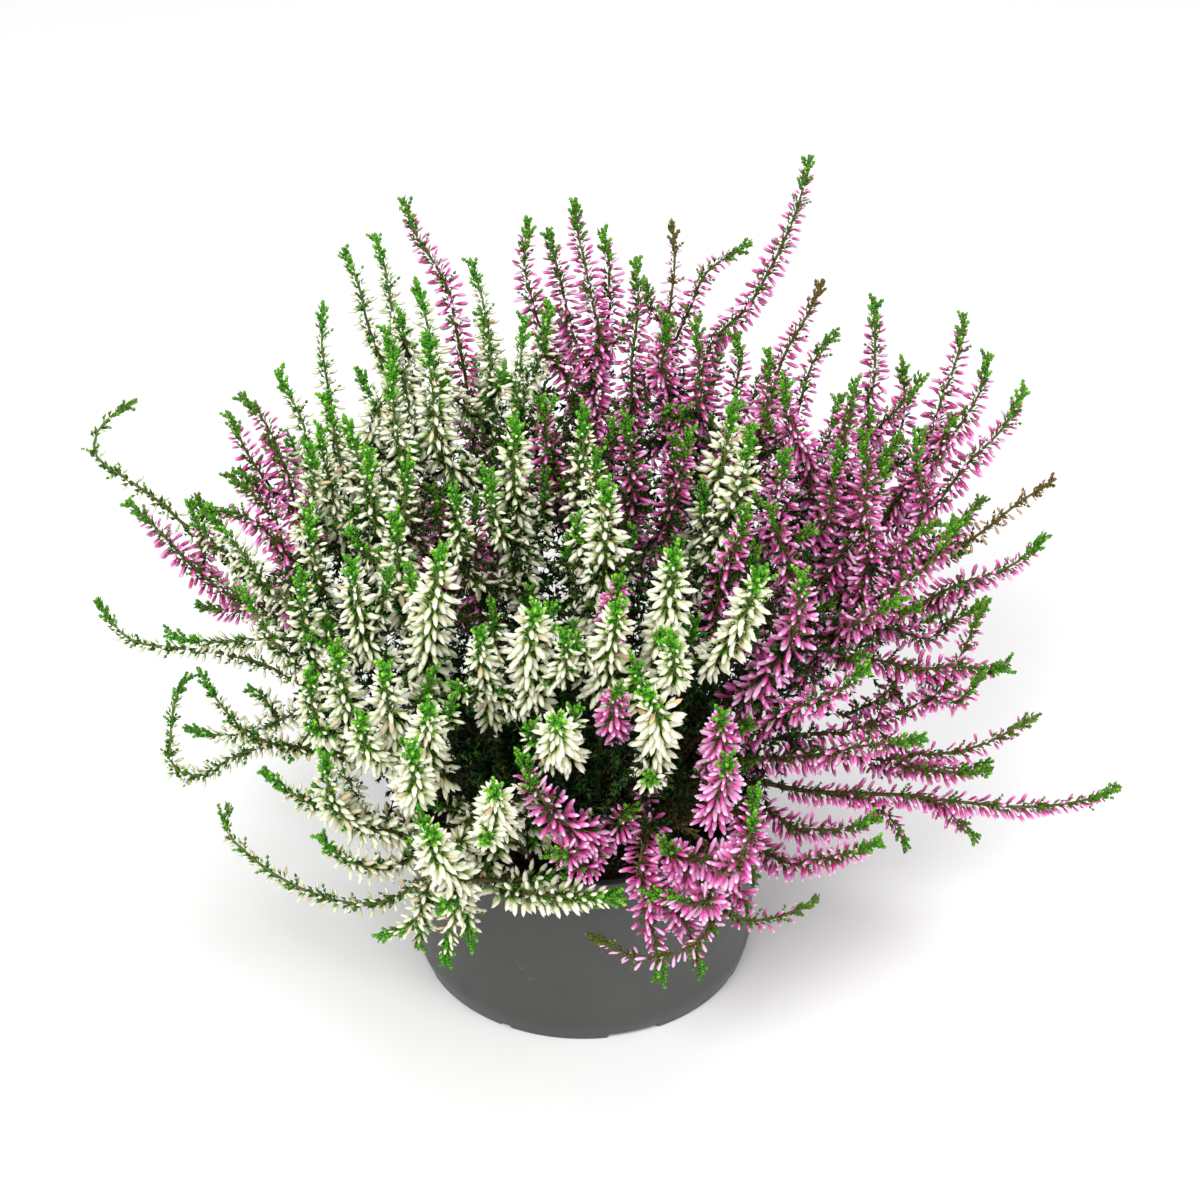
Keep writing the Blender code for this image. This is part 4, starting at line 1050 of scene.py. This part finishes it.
def shoots(cluster, starts, ways, lengths, pairGap, leafLength, leafWidth, form, freshAndShade, brown, draw, splay):
    # short leafy side shoots, with leaves in crossed pairs
    count = len(starts)
    if not count:
        return
    helper = units(draw.normal(size=(count, 3)))
    sides = units(np.cross(ways, helper))
    cross = np.cross(ways, sides)
    cluster.repeat("twig", starts, ways, sides, lengths, np.full(count, 0.30), 1, brown, freshAndShade - 0.12)
    pairs = max(2, int(round(float(lengths.mean()) / pairGap)))
    for pair in range(pairs):
        share = (pair + 0.4) / pairs
        centre = starts + ways * (lengths * share)[:, None]
        turn = (pair % 2) * math.pi / 2 + draw.uniform(-0.25, 0.25, count)
        for half in range(2):
            angle = turn + half * math.pi
            radial = turned(sides, cross, angle)
            way = units(radial * splay + ways * (0.75 + 0.5 * share))
            size = leafLength * (1.0 - 0.30 * share) * draw.uniform(0.85, 1.15, count)
            cluster.repeat(form, centre, way, np.cross(way, radial), size, size * leafWidth, 1, brown,
                           freshAndShade + 0.16 * share + draw.uniform(-0.07, 0.07, count))
    cluster.repeat(form, starts + ways * (lengths * 0.86)[:, None], ways, sides,
                   np.full(count, leafLength * 0.9), np.full(count, leafLength * leafWidth * 0.9), 1,
                   brown, freshAndShade + 0.2)


def sheltered(points, within):
    # inside the dome, and inside the cone that the stems hold open above the pot
    away = np.hypot(points[:, 0], points[:, 1])
    cone = spike["innerFoot"] + spike["innerFlare"] * (points[:, 2] - soil["top"])
    return (away < cone) & (np.linalg.norm((points - dome["middle"]) / dome["radii"], axis=1) < within)


def sideCurves(curve, bloom, draw):
    # short spikes that fork from a long one, below and beside its buds
    fine = softened(curve, growth["fineStep"])
    run = runOf(fine)
    ways, sides = framesOf(fine)
    found = []
    first = draw.uniform(0.0, 6.283)
    for k in range(spike["sideSpikes"]):
        place = run[-1] - growth["tuftLength"] - bloom * (0.62 + 0.42 * k + draw.uniform(-0.08, 0.08))
        length = draw.uniform(*spike["sideLength"])
        around = first + k * 2.4
        at = int(np.searchsorted(run, place))
        if place < spike["sideUp"] or at >= len(fine):
            continue
        level, away = fine[at][2], math.hypot(fine[at][0], fine[at][1])
        tooNear = away < spike["sideBeyond"] or level < spike["sideLowest"]
        if level < pot["height"] + spike["sideOver"] and tooNear:
            continue
        outward = sides[at] * math.cos(around) + np.cross(ways[at], sides[at]) * math.sin(around)
        rise = np.array([0.0, 0.0, 0.3])
        goal = fine[at] + unit(ways[at] * 0.8 + outward * 0.75 + rise) * length
        found.append(hermite(fine[at], goal, unit(ways[at] * 0.6 + outward) * length,
                             unit(ways[at] + outward * 0.25 + rise) * length, 14))
    return found


class Sprig:
    # one spike: its smoothed curve, where its buds start and end, and everything that grows on it
    def __init__(self, cluster, curve, reach, bloom, rooted, flower, draw, dry, inner=1.0, odd=None):
        self.cluster, self.draw, self.flower = cluster, draw, flower
        self.reach, self.rooted, self.dry, self.inner = reach, rooted, dry, inner
        self.fine = softened(curve, growth["fineStep"])
        self.run = runOf(self.fine)
        self.total = self.run[-1]
        self.ways, self.sides = framesOf(self.fine)
        tuft = growth["tuftLength"]
        self.bloomFrom = max(self.total - bloom - tuft, 16.5 if rooted else 3.0)
        self.bloomTo = self.total - tuft * 0.62
        self.thick = min(1.0, max(0.0, (reach - 3.6) / 2.6))
        self.pinkish = 0.0 if flower == "white" else 1.0
        self.budShare, self.browned, self.oddTint = odd or (1.0, 0.0, None)

    def at(self, places):
        spot, way, side = [np.stack([np.interp(places, self.run, rows[:, axis]) for axis in range(3)], axis=1)
                           for rows in (self.fine, self.ways, self.sides)]
        way = units(way)
        side = squared(side, way)
        return spot, way, side, np.cross(way, side)

    def around(self, places, angle):
        # places on the stem, its way and a direction across it, and the direction outwards at an angle
        spot, way, side, cross = self.at(places)
        return spot, way, cross, turned(side, cross, angle)

    def dress(self):
        self.stem()
        self.buds()
        self.axisLeaves()
        self.greenShoots()
        self.tip()
        self.darkShoots()

    def stem(self):
        marks = np.linspace(0.0, self.total, max(5, int(self.total / 4.0)))
        base = 1.10 if self.rooted else 0.58
        radii = base + (0.36 - base) * (marks / self.total) ** 0.8
        woody = self.bloomFrom * 0.7
        young = np.clip((marks - woody) / max(1.0, self.total - woody), 0.0, 1.0)
        bare = young * (1.0 - 0.45 * max(self.pinkish, self.browned))
        self.cluster.tube(self.at(marks)[0], radii, 5, 0, bare, 0.5)

    def buds(self):
        # drooping low on the spike and rising near its tip, with a small green leaf under many
        draw, flower, thick = self.draw, self.flower, self.thick
        span = self.bloomTo - self.bloomFrom
        number = max(4, int(span * (spike["budDensity"][flower] * (0.82 + 0.18 * thick)) * self.budShare))
        share = (np.arange(number) + draw.uniform(0.1, 0.9, number)) / number
        angle = np.arange(number) * goldenTurn + draw.uniform(-0.35, 0.35, number)
        place, way, cross, radial = self.around(self.bloomFrom + span * share, angle)
        lying = 1.0 - np.abs(way[:, 2:])
        hang = spike["hang"][flower] * (0.4 if self.reach > spike["fullFrom"] and flower == "white" else 1.0)
        radial = units(radial + down * lying * hang)
        low, middle, top = spike["lift"][flower]
        lift = np.interp(share, [0.0, 0.55, 0.85, 1.0], [low, low * 0.4 + middle * 0.6, 0.5 * top, top])
        lift = lift + draw.uniform(-0.25, 0.25, number) + 0.55 * (lying[:, 0] > 0.6)
        heading = units(radial + way * lift[:, None] + down * 0.16)
        grown = 0.50 + 0.50 * np.clip((1.0 - share) / 0.30, 0.0, 1.0)
        full = min(spike["budLength"][1], max(spike["budLength"][0], (self.reach - 0.4) / 1.22))
        length = full * grown * draw.uniform(0.86, 1.08, number)
        width = length * spike["budWidth"][flower] * draw.uniform(0.88, 1.12, number)
        stand = 0.45 + length * draw.uniform(*spike["stalk"], number)
        if flower == "white":
            tint = np.clip(0.50 + draw.normal(0.0, 0.10, number) - 0.22 * (1.0 - thick), 0.02, 0.62)
            tint = np.where(draw.random(number) < self.dry, draw.uniform(0.75, 1.0, number), tint)
            tint = np.where((share > 0.86) & (tint < 0.62), tint * 0.55, tint)
        else:
            tint = np.clip(0.5 + draw.normal(0.0, 0.22, number) - 0.12 * (1.0 - thick), 0.0, 1.0)
            if self.oddTint:
                tint = self.oddTint + draw.uniform(-0.15, 0.15, number)
        form = flower + ("_full" if self.reach > spike["fullFrom"] else "_small")
        self.cluster.repeat(form, place + radial * stand[:, None], heading, np.cross(heading, way),
                            length, width, 2, tint)
        leafy = draw.random(number) < spike["bracts"]
        count = int(leafy.sum())
        size = draw.uniform(1.6, 2.5, count)
        foot = place[leafy] + radial[leafy] * (stand[leafy] * 0.5)[:, None]
        brown = np.clip(0.45 * self.pinkish + self.browned + draw.uniform(-0.3, 0.3, count), 0.0, 1.0)
        self.cluster.repeat("leaf", foot, units(radial[leafy] + way[leafy] * 0.9), cross[leafy], size,
                            size * 0.27, 1, brown, draw.uniform(0.42, 0.75, count))

    def axisLeaves(self):
        # scale leaves along the stem
        draw, lowest = self.draw, self.bloomFrom * 0.55
        count = int((self.total - lowest) * spike["axisLeaf"])
        places = np.sort(draw.uniform(lowest, self.total - 1.0, count))
        spot, way, cross, outward = self.around(places, np.arange(count) * goldenTurn)
        size = draw.uniform(1.7, 2.7, count)
        ripe = np.clip((places - lowest) / max(1.0, self.total - lowest), 0.0, 1.0)
        brown = 0.75 * self.pinkish * (1.2 - ripe) + self.browned + draw.uniform(-0.25, 0.25, count)
        self.cluster.repeat("leaf", spot + outward * 0.4, units(outward * 0.6 + way), cross, size,
                            size * 0.28, 1, np.clip(brown, 0.0, 1.0),
                            0.22 + 0.42 * ripe + draw.uniform(-0.08, 0.08, count))

    def greenShoots(self):
        # short ones among the buds, in loose whorls on a thin spike
        draw, span = self.draw, self.bloomTo - self.bloomFrom
        number = int(span * np.interp(self.thick, [0.0, 1.0], spike["greenShoots"]))
        if not number:
            return
        places = self.bloomFrom + span * (np.arange(number) // 3 * 3 + 1.5) / (number + 2.0)
        places = places + draw.uniform(-0.8, 0.8, number)
        angle = np.arange(number) * 2.1 + draw.uniform(-0.4, 0.4, number)
        spot, way, cross, outward = self.around(places, angle)
        size = draw.uniform(2.6, 4.2, number) + 1.6 * self.thick
        brown = np.full(number, min(1.0, 0.25 * self.pinkish + self.browned))
        shoots(self.cluster, spot, units(outward + way * 0.75), size, 1.1, 1.7, 0.34, "leaf",
               draw.uniform(0.44, 0.66, number), brown, draw, 0.7)

    def tip(self):
        # a cluster of short club-shaped shoots with their leaves close together
        draw, thick = self.draw, self.thick
        number = max(4, int(round(spike["tuftShoots"] * (0.45 + 0.55 * thick) * (0.6 + 0.4 * self.inner))))
        spread = growth["tuftLength"] * (1.05 + 0.50 * thick)
        length = draw.uniform(*spike["tuftShoot"], number) * (0.66 + 0.34 * thick)
        places = self.total - spread * np.linspace(1.0, 0.0, number) - 2.6 * np.linspace(0.0, 1.0, number)
        angle = np.arange(number) * goldenTurn + draw.uniform(0.0, 6.28)
        spot, way, cross, outward = self.around(places, angle)
        bright = 0.50 + 0.10 * thick + 0.04 * (1.0 - self.pinkish) + draw.uniform(-0.10, 0.10, number)
        brown = np.full(number, min(1.0, 0.22 * self.pinkish * (1.2 - thick) + self.browned))
        gap, size, wide = spike["tuftGap"], spike["tuftLeaf"] * (0.84 + 0.16 * thick), spike["tuftLeafWidth"]
        shoots(self.cluster, spot, units(outward * 0.72 + way), length, gap, size, wide, "scale",
               bright, brown, draw, 0.42)
        spot, way = self.at(np.array([self.total - spread * 0.9]))[:2]
        shoots(self.cluster, spot, way, np.array([spread * 0.86]), gap, size, wide, "scale",
               np.array([0.54]), brown[:1], draw, 0.45)

    def darkShoots(self):
        # needle-leaved shoots inside the plant, the longest ones near the pot
        draw = self.draw
        first = 18.0 if self.rooted else 3.0
        last = self.bloomFrom + 0.50 * (self.bloomTo - self.bloomFrom)
        split = min(last, 0.55 * self.bloomFrom + 14.0) if self.rooted else first
        for start, stop, kind in ((first, split, spike["low"]), (split, last, spike["upper"])):
            number = int(max(0.0, stop - start) / kind["spacing"] * self.inner)
            if not number:
                continue
            places = np.clip(np.linspace(start, stop, number) + draw.uniform(-2.0, 2.0, number), start, stop)
            level = self.at(places)[0]
            beside = np.hypot(level[:, 0], level[:, 1]) > pot["wallTopRadius"] - 6.0
            places = places[~beside | (level[:, 2] > pot["height"] + 14.0)]  # none over the pot's side
            number = len(places)
            if not number:
                continue
            angle = np.arange(number) * goldenTurn + draw.uniform(0.0, 6.28)
            spot, way, cross, outward = self.around(places, angle)
            heading = units(outward * 0.9 + way * 0.5 + np.array([0.0, 0.0, 0.20]))
            length = draw.uniform(*kind["length"], number) * np.where(places > self.bloomFrom, 0.6, 1.0)
            kept = sheltered(spot + heading * length[:, None], spike["innerWithin"])
            if not kept.any():
                continue
            spot, heading, length, places = spot[kept], heading[kept], length[kept], places[kept]
            number = len(places)
            within = np.clip(1.0 - places / self.total, 0.0, 1.0)
            # painted shade: the lower on the stem, the darker the leaves, partly the old inner foliage's own
            # dark green and partly the shade inside the plant
            dark = 0.30 - 0.26 * within + draw.uniform(-0.05, 0.08, number)
            brown = 0.25 * self.pinkish * draw.random(number)
            shoots(self.cluster, spot, overRim(spot, heading, length), length, kind["pairGap"],
                   kind["leaf"], spike["darkLeafWidth"], "leaf", dark, brown, draw, 1.0)


def dressTwig(cluster, curve, draw):
    # a thin dark twig with short leafy stubs and no buds
    fine = softened(curve, 1.2)
    run = runOf(fine)
    cluster.tube(fine, np.linspace(0.42, 0.26, len(fine)), 4, 0, np.full(len(fine), 0.45), 0.5)
    ways, sides = framesOf(fine)
    count = int(run[-1] / 0.55)
    at = np.clip(np.searchsorted(run, np.linspace(0.8, run[-1], count)), 0, len(fine) - 1)
    outward = turned(sides[at], np.cross(ways[at], sides[at]), np.arange(count) * goldenTurn)
    size = draw.uniform(1.3, 2.1, count)
    cluster.repeat("leaf", fine[at], units(outward * 0.8 + ways[at]), np.cross(ways[at], outward), size,
                   size * 0.36, 1, draw.uniform(0.0, 0.3, count), draw.uniform(0.16, 0.34, count))


def extraCurve(carriers, places):
    # from the nearest place on the spray that carries it
    points = np.concatenate(carriers)
    across, up, deep = viewed(points)
    scale = sight["scale"] * (1.0 + deep / sight["distance"])
    aside = sight["middle"] + across / scale - places[-1][0]
    above = sight["middle"] - up / scale - places[-1][1]
    nearest = int(np.argmin(np.hypot(aside, above) + 40.0 * (points[:, 2] < soil["top"])))
    chain = [seen(*place) if len(place) == 3 else seen(*place, deep[nearest]) for place in places[::-1]]
    return throughPoints(points[nearest], unit(chain[0] - points[nearest]), chain)


def stemPlaces(curves):
    # places on the stems below the buds, and the number of the spray at each
    nodes, owners = [], []
    for curve, laid in zip(allCurves, curves):
        run = runOf(laid)
        low = (laid[:, 2] > soil["top"] + 1.0) & (run < run[-1] - 0.6 * curve[2])
        nodes.append(laid[low])
        owners += [curve[4]] * int(low.sum())
    return np.concatenate(nodes), np.array(owners)


def crownCurves(curves, nodes, owners):
    # each with the number of the spray that carries it
    draw = np.random.default_rng(902)
    laid = np.concatenate(curves)
    tips, found = [], []
    for attempt in range(crown["tries"]):
        angle, away = draw.uniform(0.0, 2.0 * math.pi), crown["within"] * math.sqrt(draw.random())
        rise = crown["level"] * math.sqrt(1.0 - (away / dome["radii"][0]) ** 2)
        height = dome["middle"][2] + dome["radii"][2] * rise + draw.uniform(-1.0, 1.0) * crown["uneven"]
        tip = np.array([away * math.cos(angle), away * math.sin(angle), height])
        crowded = bool(tips) and np.linalg.norm(np.array(tips) - tip, axis=1).min() < crown["apart"]
        if crowded or np.linalg.norm(laid - tip, axis=1).min() < crown["clear"]:
            continue
        nearest = int(np.argmin(np.linalg.norm(nodes - tip + np.array([0.0, 0.0, crown["below"]]), axis=1)))
        length = float(np.linalg.norm(tip - nodes[nearest]))
        if not crown["length"][0] < length < crown["length"][1] or len(found) >= crown["most"]:
            continue
        outward = unit(tip - nodes[nearest])
        ending = (outward - down * 0.8) * length * 0.6
        tips.append(tip)
        found.append((owners[nearest], hermite(nodes[nearest], tip, outward * length, ending, 18)))
    print("crown spikes:", len(found))
    return found


def thicketShoots(nodes, owners):
    # how the dark shoots stand, how light their leaves are, darker towards the dome's middle as painted
    # shade, and the number of the spray that carries each
    draw = np.random.default_rng(901)
    scatter = draw.uniform(-1.0, 1.0, (thicket["tries"], 3))
    share = np.linalg.norm(scatter, axis=1)
    places = dome["middle"] + scatter * dome["radii"]
    inside = (share > thicket["within"][0]) & sheltered(places, thicket["within"][1])
    inside &= places[:, 2] > thicket["lowest"]
    places, share = places[inside], share[inside]
    chosen = []
    for place, out in zip(places, share):
        if len(chosen) >= thicket["most"]:
            break
        taken = np.array([row[0] for row in chosen])
        if chosen and np.linalg.norm(taken - place, axis=1).min() < thicket["apart"]:
            continue
        away = np.linalg.norm(nodes - place, axis=1)
        nearest = int(np.argmin(away))
        if thicket["void"][0] < away[nearest] < thicket["void"][1]:
            chosen.append((place, nodes[nearest], away[nearest], owners[nearest], out))
    print("voids filled:", len(chosen))
    places, starts, gaps, carriers, outs = (np.array(column) for column in zip(*chosen))
    # the leaves get darker towards the dome's middle: painted shade
    return {"starts": starts, "ways": units(places - starts), "lengths": gaps + thicket["beyond"],
            "carriers": carriers, "freshAndShade": 0.02 + 0.26 * np.maximum(0.0, outs - 0.3)}


def dressSpray(number, name):
    flower = name.split("_")[0]
    cluster = Cluster()
    strands = [k for k, curve in enumerate(allCurves) if curve[4] == number]
    for which, k in enumerate(strands):
        fork, reach, bloom = allCurves[k][3], allCurves[k][1], allCurves[k][2]
        draw = np.random.default_rng(500 + k)
        dry = dryShare.get(name, spike["withered"])
        odd = unlike.get((name, which))
        Sprig(cluster, cleared[k], reach, bloom, fork == 0, flower, draw, dry, odd=odd).dress()
        if name in singles or bloom < spike["sideFrom"]:
            continue
        slim = max(spike["sideReach"], reach - 1.0)
        for side in sideCurves(cleared[k], bloom, draw):
            Sprig(cluster, side, slim, spike["sideBloom"], False, flower, draw, dry, 0.5).dress()
    draw = np.random.default_rng(900 + number)
    for reach, bloom, *places in extras.get(name, ()):
        curve = extraCurve([cleared[k] for k in strands], places)
        if reach:
            Sprig(cluster, curve, reach, bloom, False, flower, draw, 0.04, 0.0).dress()
        else:
            dressTwig(cluster, curve, draw)
    for owner, curve in crownSpikes:
        if owner == number:
            Sprig(cluster, curve, crown["reach"], crown["bloom"], False, flower, draw, 0.02, 0.0).dress()
    mine = fillers["carriers"] == number
    if mine.any():
        starts, ways, lengths = fillers["starts"][mine], fillers["ways"][mine], fillers["lengths"][mine]
        freshAndShade = fillers["freshAndShade"][mine] + draw.uniform(-0.02, 0.08, len(starts))
        shoots(cluster, starts, overRim(starts, ways, lengths), lengths, thicket["pairGap"], thicket["leaf"],
               thicket["leafWidth"], "leaf", freshAndShade, draw.uniform(0.0, 0.2, len(starts)), draw, 1.0)
    look = cluster.piece(name + "_look", [bark, leaf, whiteBud if flower == "white" else pinkBud])
    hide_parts(name)
    flower + "_spray"
    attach(look, "root")
    return len(look.data.polygons)


spots = footings()
sprayNames = sorted(spots)
allCurves = []  # of each: its points, bud reach, length in bud, where it forks and its spray
for number, name in enumerate(sprayNames):
    for curve in curvesOf(name, spots[name]):
        allCurves.append(curve + [number])
cleared = bentClear(allCurves, growth["sweeps"])
print("curves laid:", len(cleared))
nodes, owners = stemPlaces(cleared)
fillers = thicketShoots(nodes, owners)
crownSpikes = crownCurves(cleared, nodes, owners)
print("sprays dressed:", sum(dressSpray(number, name) for number, name in enumerate(sprayNames)), "triangles")


def potProfile():
    # from the middle of the floor up the inside, over the lip, down the outside and under to the middle;
    # and the first of the three points that rise at a notch
    wall, top, thick, lip = pot["wallRadius"], pot["wallTopRadius"], pot["wallThickness"], pot["lipRadius"]
    high, foot, rise, width = pot["height"], pot["footRadius"], pot["chamferRise"], pot["footWidth"]
    disc, recess, lipLow = pot["discRadius"], pot["recessDepth"], high - pot["lipRise"]
    inner = [(0.0, pot["floorTop"]), (foot - 4.6, pot["floorTop"]), (wall - thick, rise + 3.2),
             (top - thick, high - 0.5), (top - thick + 0.4, high)]
    outer = [(lip - 0.5, high), (lip - 0.12, high - 0.2), (lip, high - 0.7), (lip, lipLow + 0.3),
             (lip - 0.2, lipLow), (top, lipLow - 0.5), ((top + wall) / 2, high * 0.55),
             (wall + 0.03, rise + 4.0), (wall - 0.12, rise + 1.4), (wall - 0.6, rise - 0.8)]
    under = [(foot + 0.35, 0.45), (foot - 0.3, 0.0), (foot - width, 0.0), (foot - width - 0.8, recess),
             (disc + 0.8, recess), (disc, 0.0), (0.0, 0.0)]
    return inner + outer + under, len(inner) + len(outer)


def notchSpans():
    # of each notch: its middle and half its width in degrees, and its rise
    spans = []
    for i in range(pot["notches"]):
        middle = (-90.0 + pot["firstNotch"] + 360.0 / pot["notches"] * i) % 360.0
        if i % 2 == 0:
            spans.append((middle, pot["wideNotch"] / 2, pot["notchRise"]))
        else:
            spans.append((middle, pot["narrowNotch"] / 2, pot["notchRise"] - 0.5))
    return spans


def potShape():
    profile, raised = potProfile()
    spans = notchSpans()
    angles = set(np.linspace(0.0, 360.0, pot["steps"], endpoint=False).round(4))
    for middle, half, rise in spans:
        for edge in (-half - 0.35, -half, half, half + 0.35):
            angles.add(round((middle + edge) % 360.0, 4))
    rings = []
    for angle in sorted(angles):
        lifted = 0.0
        for middle, half, rise in spans:
            if abs((angle - middle + 180.0) % 360.0 - 180.0) <= half + 0.01:
                lifted = rise
        turn = math.radians(angle)
        ring = []
        for i, (radius, z) in enumerate(profile[1:-1], start=1):
            if raised <= i < raised + 3 and lifted:
                z = lifted
                radius += 0.3 if i < raised + 2 else 0.0
            ring.append((radius * math.cos(turn), radius * math.sin(turn), z))
        rings.append(ring)
    size = len(profile) - 2
    points = [point for ring in rings for point in ring]
    centreTop, centreUnder = len(points), len(points) + 1
    points += [(0.0, 0.0, profile[0][1]), (0.0, 0.0, profile[-1][1])]
    faces = []
    for i in range(len(rings)):
        j = (i + 1) % len(rings)
        faces.append((centreTop, i * size, j * size))
        for k in range(size - 1):
            faces.append((i * size + k, i * size + k + 1, j * size + k + 1, j * size + k))
        faces.append((i * size + size - 1, centreUnder, j * size + size - 1))
    look = plainMesh("pot_look", [(x * mm, y * mm, z * mm) for x, y, z in points], faces, potFinish())
    for face in look.data.polygons:
        face.use_smooth = True
    look.data.set_sharp_from_angle(angle=math.radians(32.0))
    return look


potLook = potShape()
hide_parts("pot")
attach(potLook, "root")


def layCrumbs(cluster, draw, reach):
    number = soil["crumbs"]
    radius = reach * 0.96 * np.sqrt(draw.random(number))
    turn = draw.uniform(0.0, 6.283, number)
    centre = np.stack([radius * np.cos(turn), radius * np.sin(turn), np.full(number, soil["top"] + 0.6)], 1)
    centre[:, 2] += draw.uniform(-0.6, 0.8, number)
    size = draw.uniform(*soil["crumbSize"], number)
    way, side = units(draw.normal(size=(number, 3))), units(draw.normal(size=(number, 3)))
    length = size * draw.uniform(0.8, 1.9, number)
    cluster.repeat("crumb", centre, way, side, length, size * 0.5, 0, np.zeros(number))


def soilShape():
    draw = np.random.default_rng(77)
    reach = pot["wallTopRadius"] - pot["wallThickness"] - 0.1
    rings, sectors = 26, 96
    points = [(0.0, 0.0, soil["top"])]
    faces = []
    for ring in range(1, rings + 1):
        radius = reach * ring / rings
        for i in range(sectors):
            turn = 2.0 * math.pi * i / sectors
            x, y = radius * math.cos(turn), radius * math.sin(turn)
            rough = soil["uneven"] * (0.5 * math.sin(0.21 * x + 1.3) * math.cos(0.17 * y)
                                      + 0.5 * math.sin(0.39 * y + 0.33 * x))
            clod = 0.5 * math.sin(1.7 * x + 0.6 * y) * math.sin(1.3 * y - 0.4 * x) + draw.uniform(-0.35, 0.35)
            edge = min(1.0, (reach - radius) / 3.0)
            points.append((x, y, soil["top"] + rough + clod * edge - 0.8 * (1.0 - edge)))
    for i in range(sectors):
        j = (i + 1) % sectors
        faces.append((0, 1 + i, 1 + j))
        for ring in range(rings - 1):
            a, b = 1 + ring * sectors + i, 1 + ring * sectors + j
            faces += [(a, a + sectors, b + sectors), (a, b + sectors, b)]
    rim = 1 + (rings - 1) * sectors
    start = len(points)
    bottom, bottomRadius = pot["floorTop"] + 0.35, pot["footRadius"] - 5.3
    for i in range(sectors):
        turn = 2.0 * math.pi * i / sectors
        points.append((bottomRadius * math.cos(turn), bottomRadius * math.sin(turn), bottom))
    points.append((0.0, 0.0, bottom))
    for i in range(sectors):
        j = (i + 1) % sectors
        faces += [(rim + i, start + i, start + j), (rim + i, start + j, rim + j)]
        faces.append((start + j, start + i, len(points) - 1))
    cluster = Cluster()
    count = len(points)
    cluster.take(np.array(points), np.array(faces), 0, np.zeros(count), np.zeros(count))
    layCrumbs(cluster, draw, reach)
    return cluster.piece("soil_look", [soilFinish()])


soilLook = soilShape()
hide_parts("soil")
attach(soilLook, "root")
print("pot and soil made")

# floor, light and camera
studio = {
    "floorSize": 4.0,
    "world": 0.36,
    "lamps": {  # place, size in metres, power
        "key": ((-0.45, -1.15, 1.35), 0.8, 26.0),
        "fill": ((0.95, -0.75, 0.9), 1.0, 8.0),
        "top": ((0.10, 0.25, 1.70), 1.2, 14.0),
    },
}
half = studio["floorSize"] / 2
corners = [(-half, -half, 0.0), (half, -half, 0.0), (half, half, 0.0), (-half, half, 0.0)]
floor = plainMesh("floor", corners, [(0, 1, 2, 3)], floorFinish())

world = bpy.data.worlds.new("studio")
world.use_nodes = True
background = world.node_tree.nodes["Background"]
background.inputs["Color"].default_value = (1.0, 1.0, 1.0, 1.0)
background.inputs["Strength"].default_value = studio["world"]
bpy.context.scene.world = world


def lookFrom(thing, place, target):
    back = np.array(place) - np.array(target)
    level = math.hypot(back[0], back[1])
    thing.location = place
    thing.rotation_euler = (math.atan2(level, back[2]), 0.0, math.atan2(back[0], -back[1]))


for name, (place, size, power) in studio["lamps"].items():
    light = bpy.data.lights.new(name, "AREA")
    light.shape = "DISK"
    light.size = size
    light.energy = power
    lookFrom(linked(name, light), place, (0.0, 0.0, 0.12))

cameraData = bpy.data.cameras.new("camera")
cameraData.sensor_width = sight["sensor"]
cameraData.lens = sight["sensor"] * sight["distance"] / (sight["pixels"] * sight["scale"])
camera = linked("camera", cameraData)
target = sight["aim"] * mm
back = np.array([0.0, -math.cos(sight["pitch"]), math.sin(sight["pitch"])]) * sight["distance"] * mm
lookFrom(camera, tuple(target + back), tuple(target))
bpy.context.scene.camera = camera
bpy.context.scene.view_settings.view_transform = "Standard"
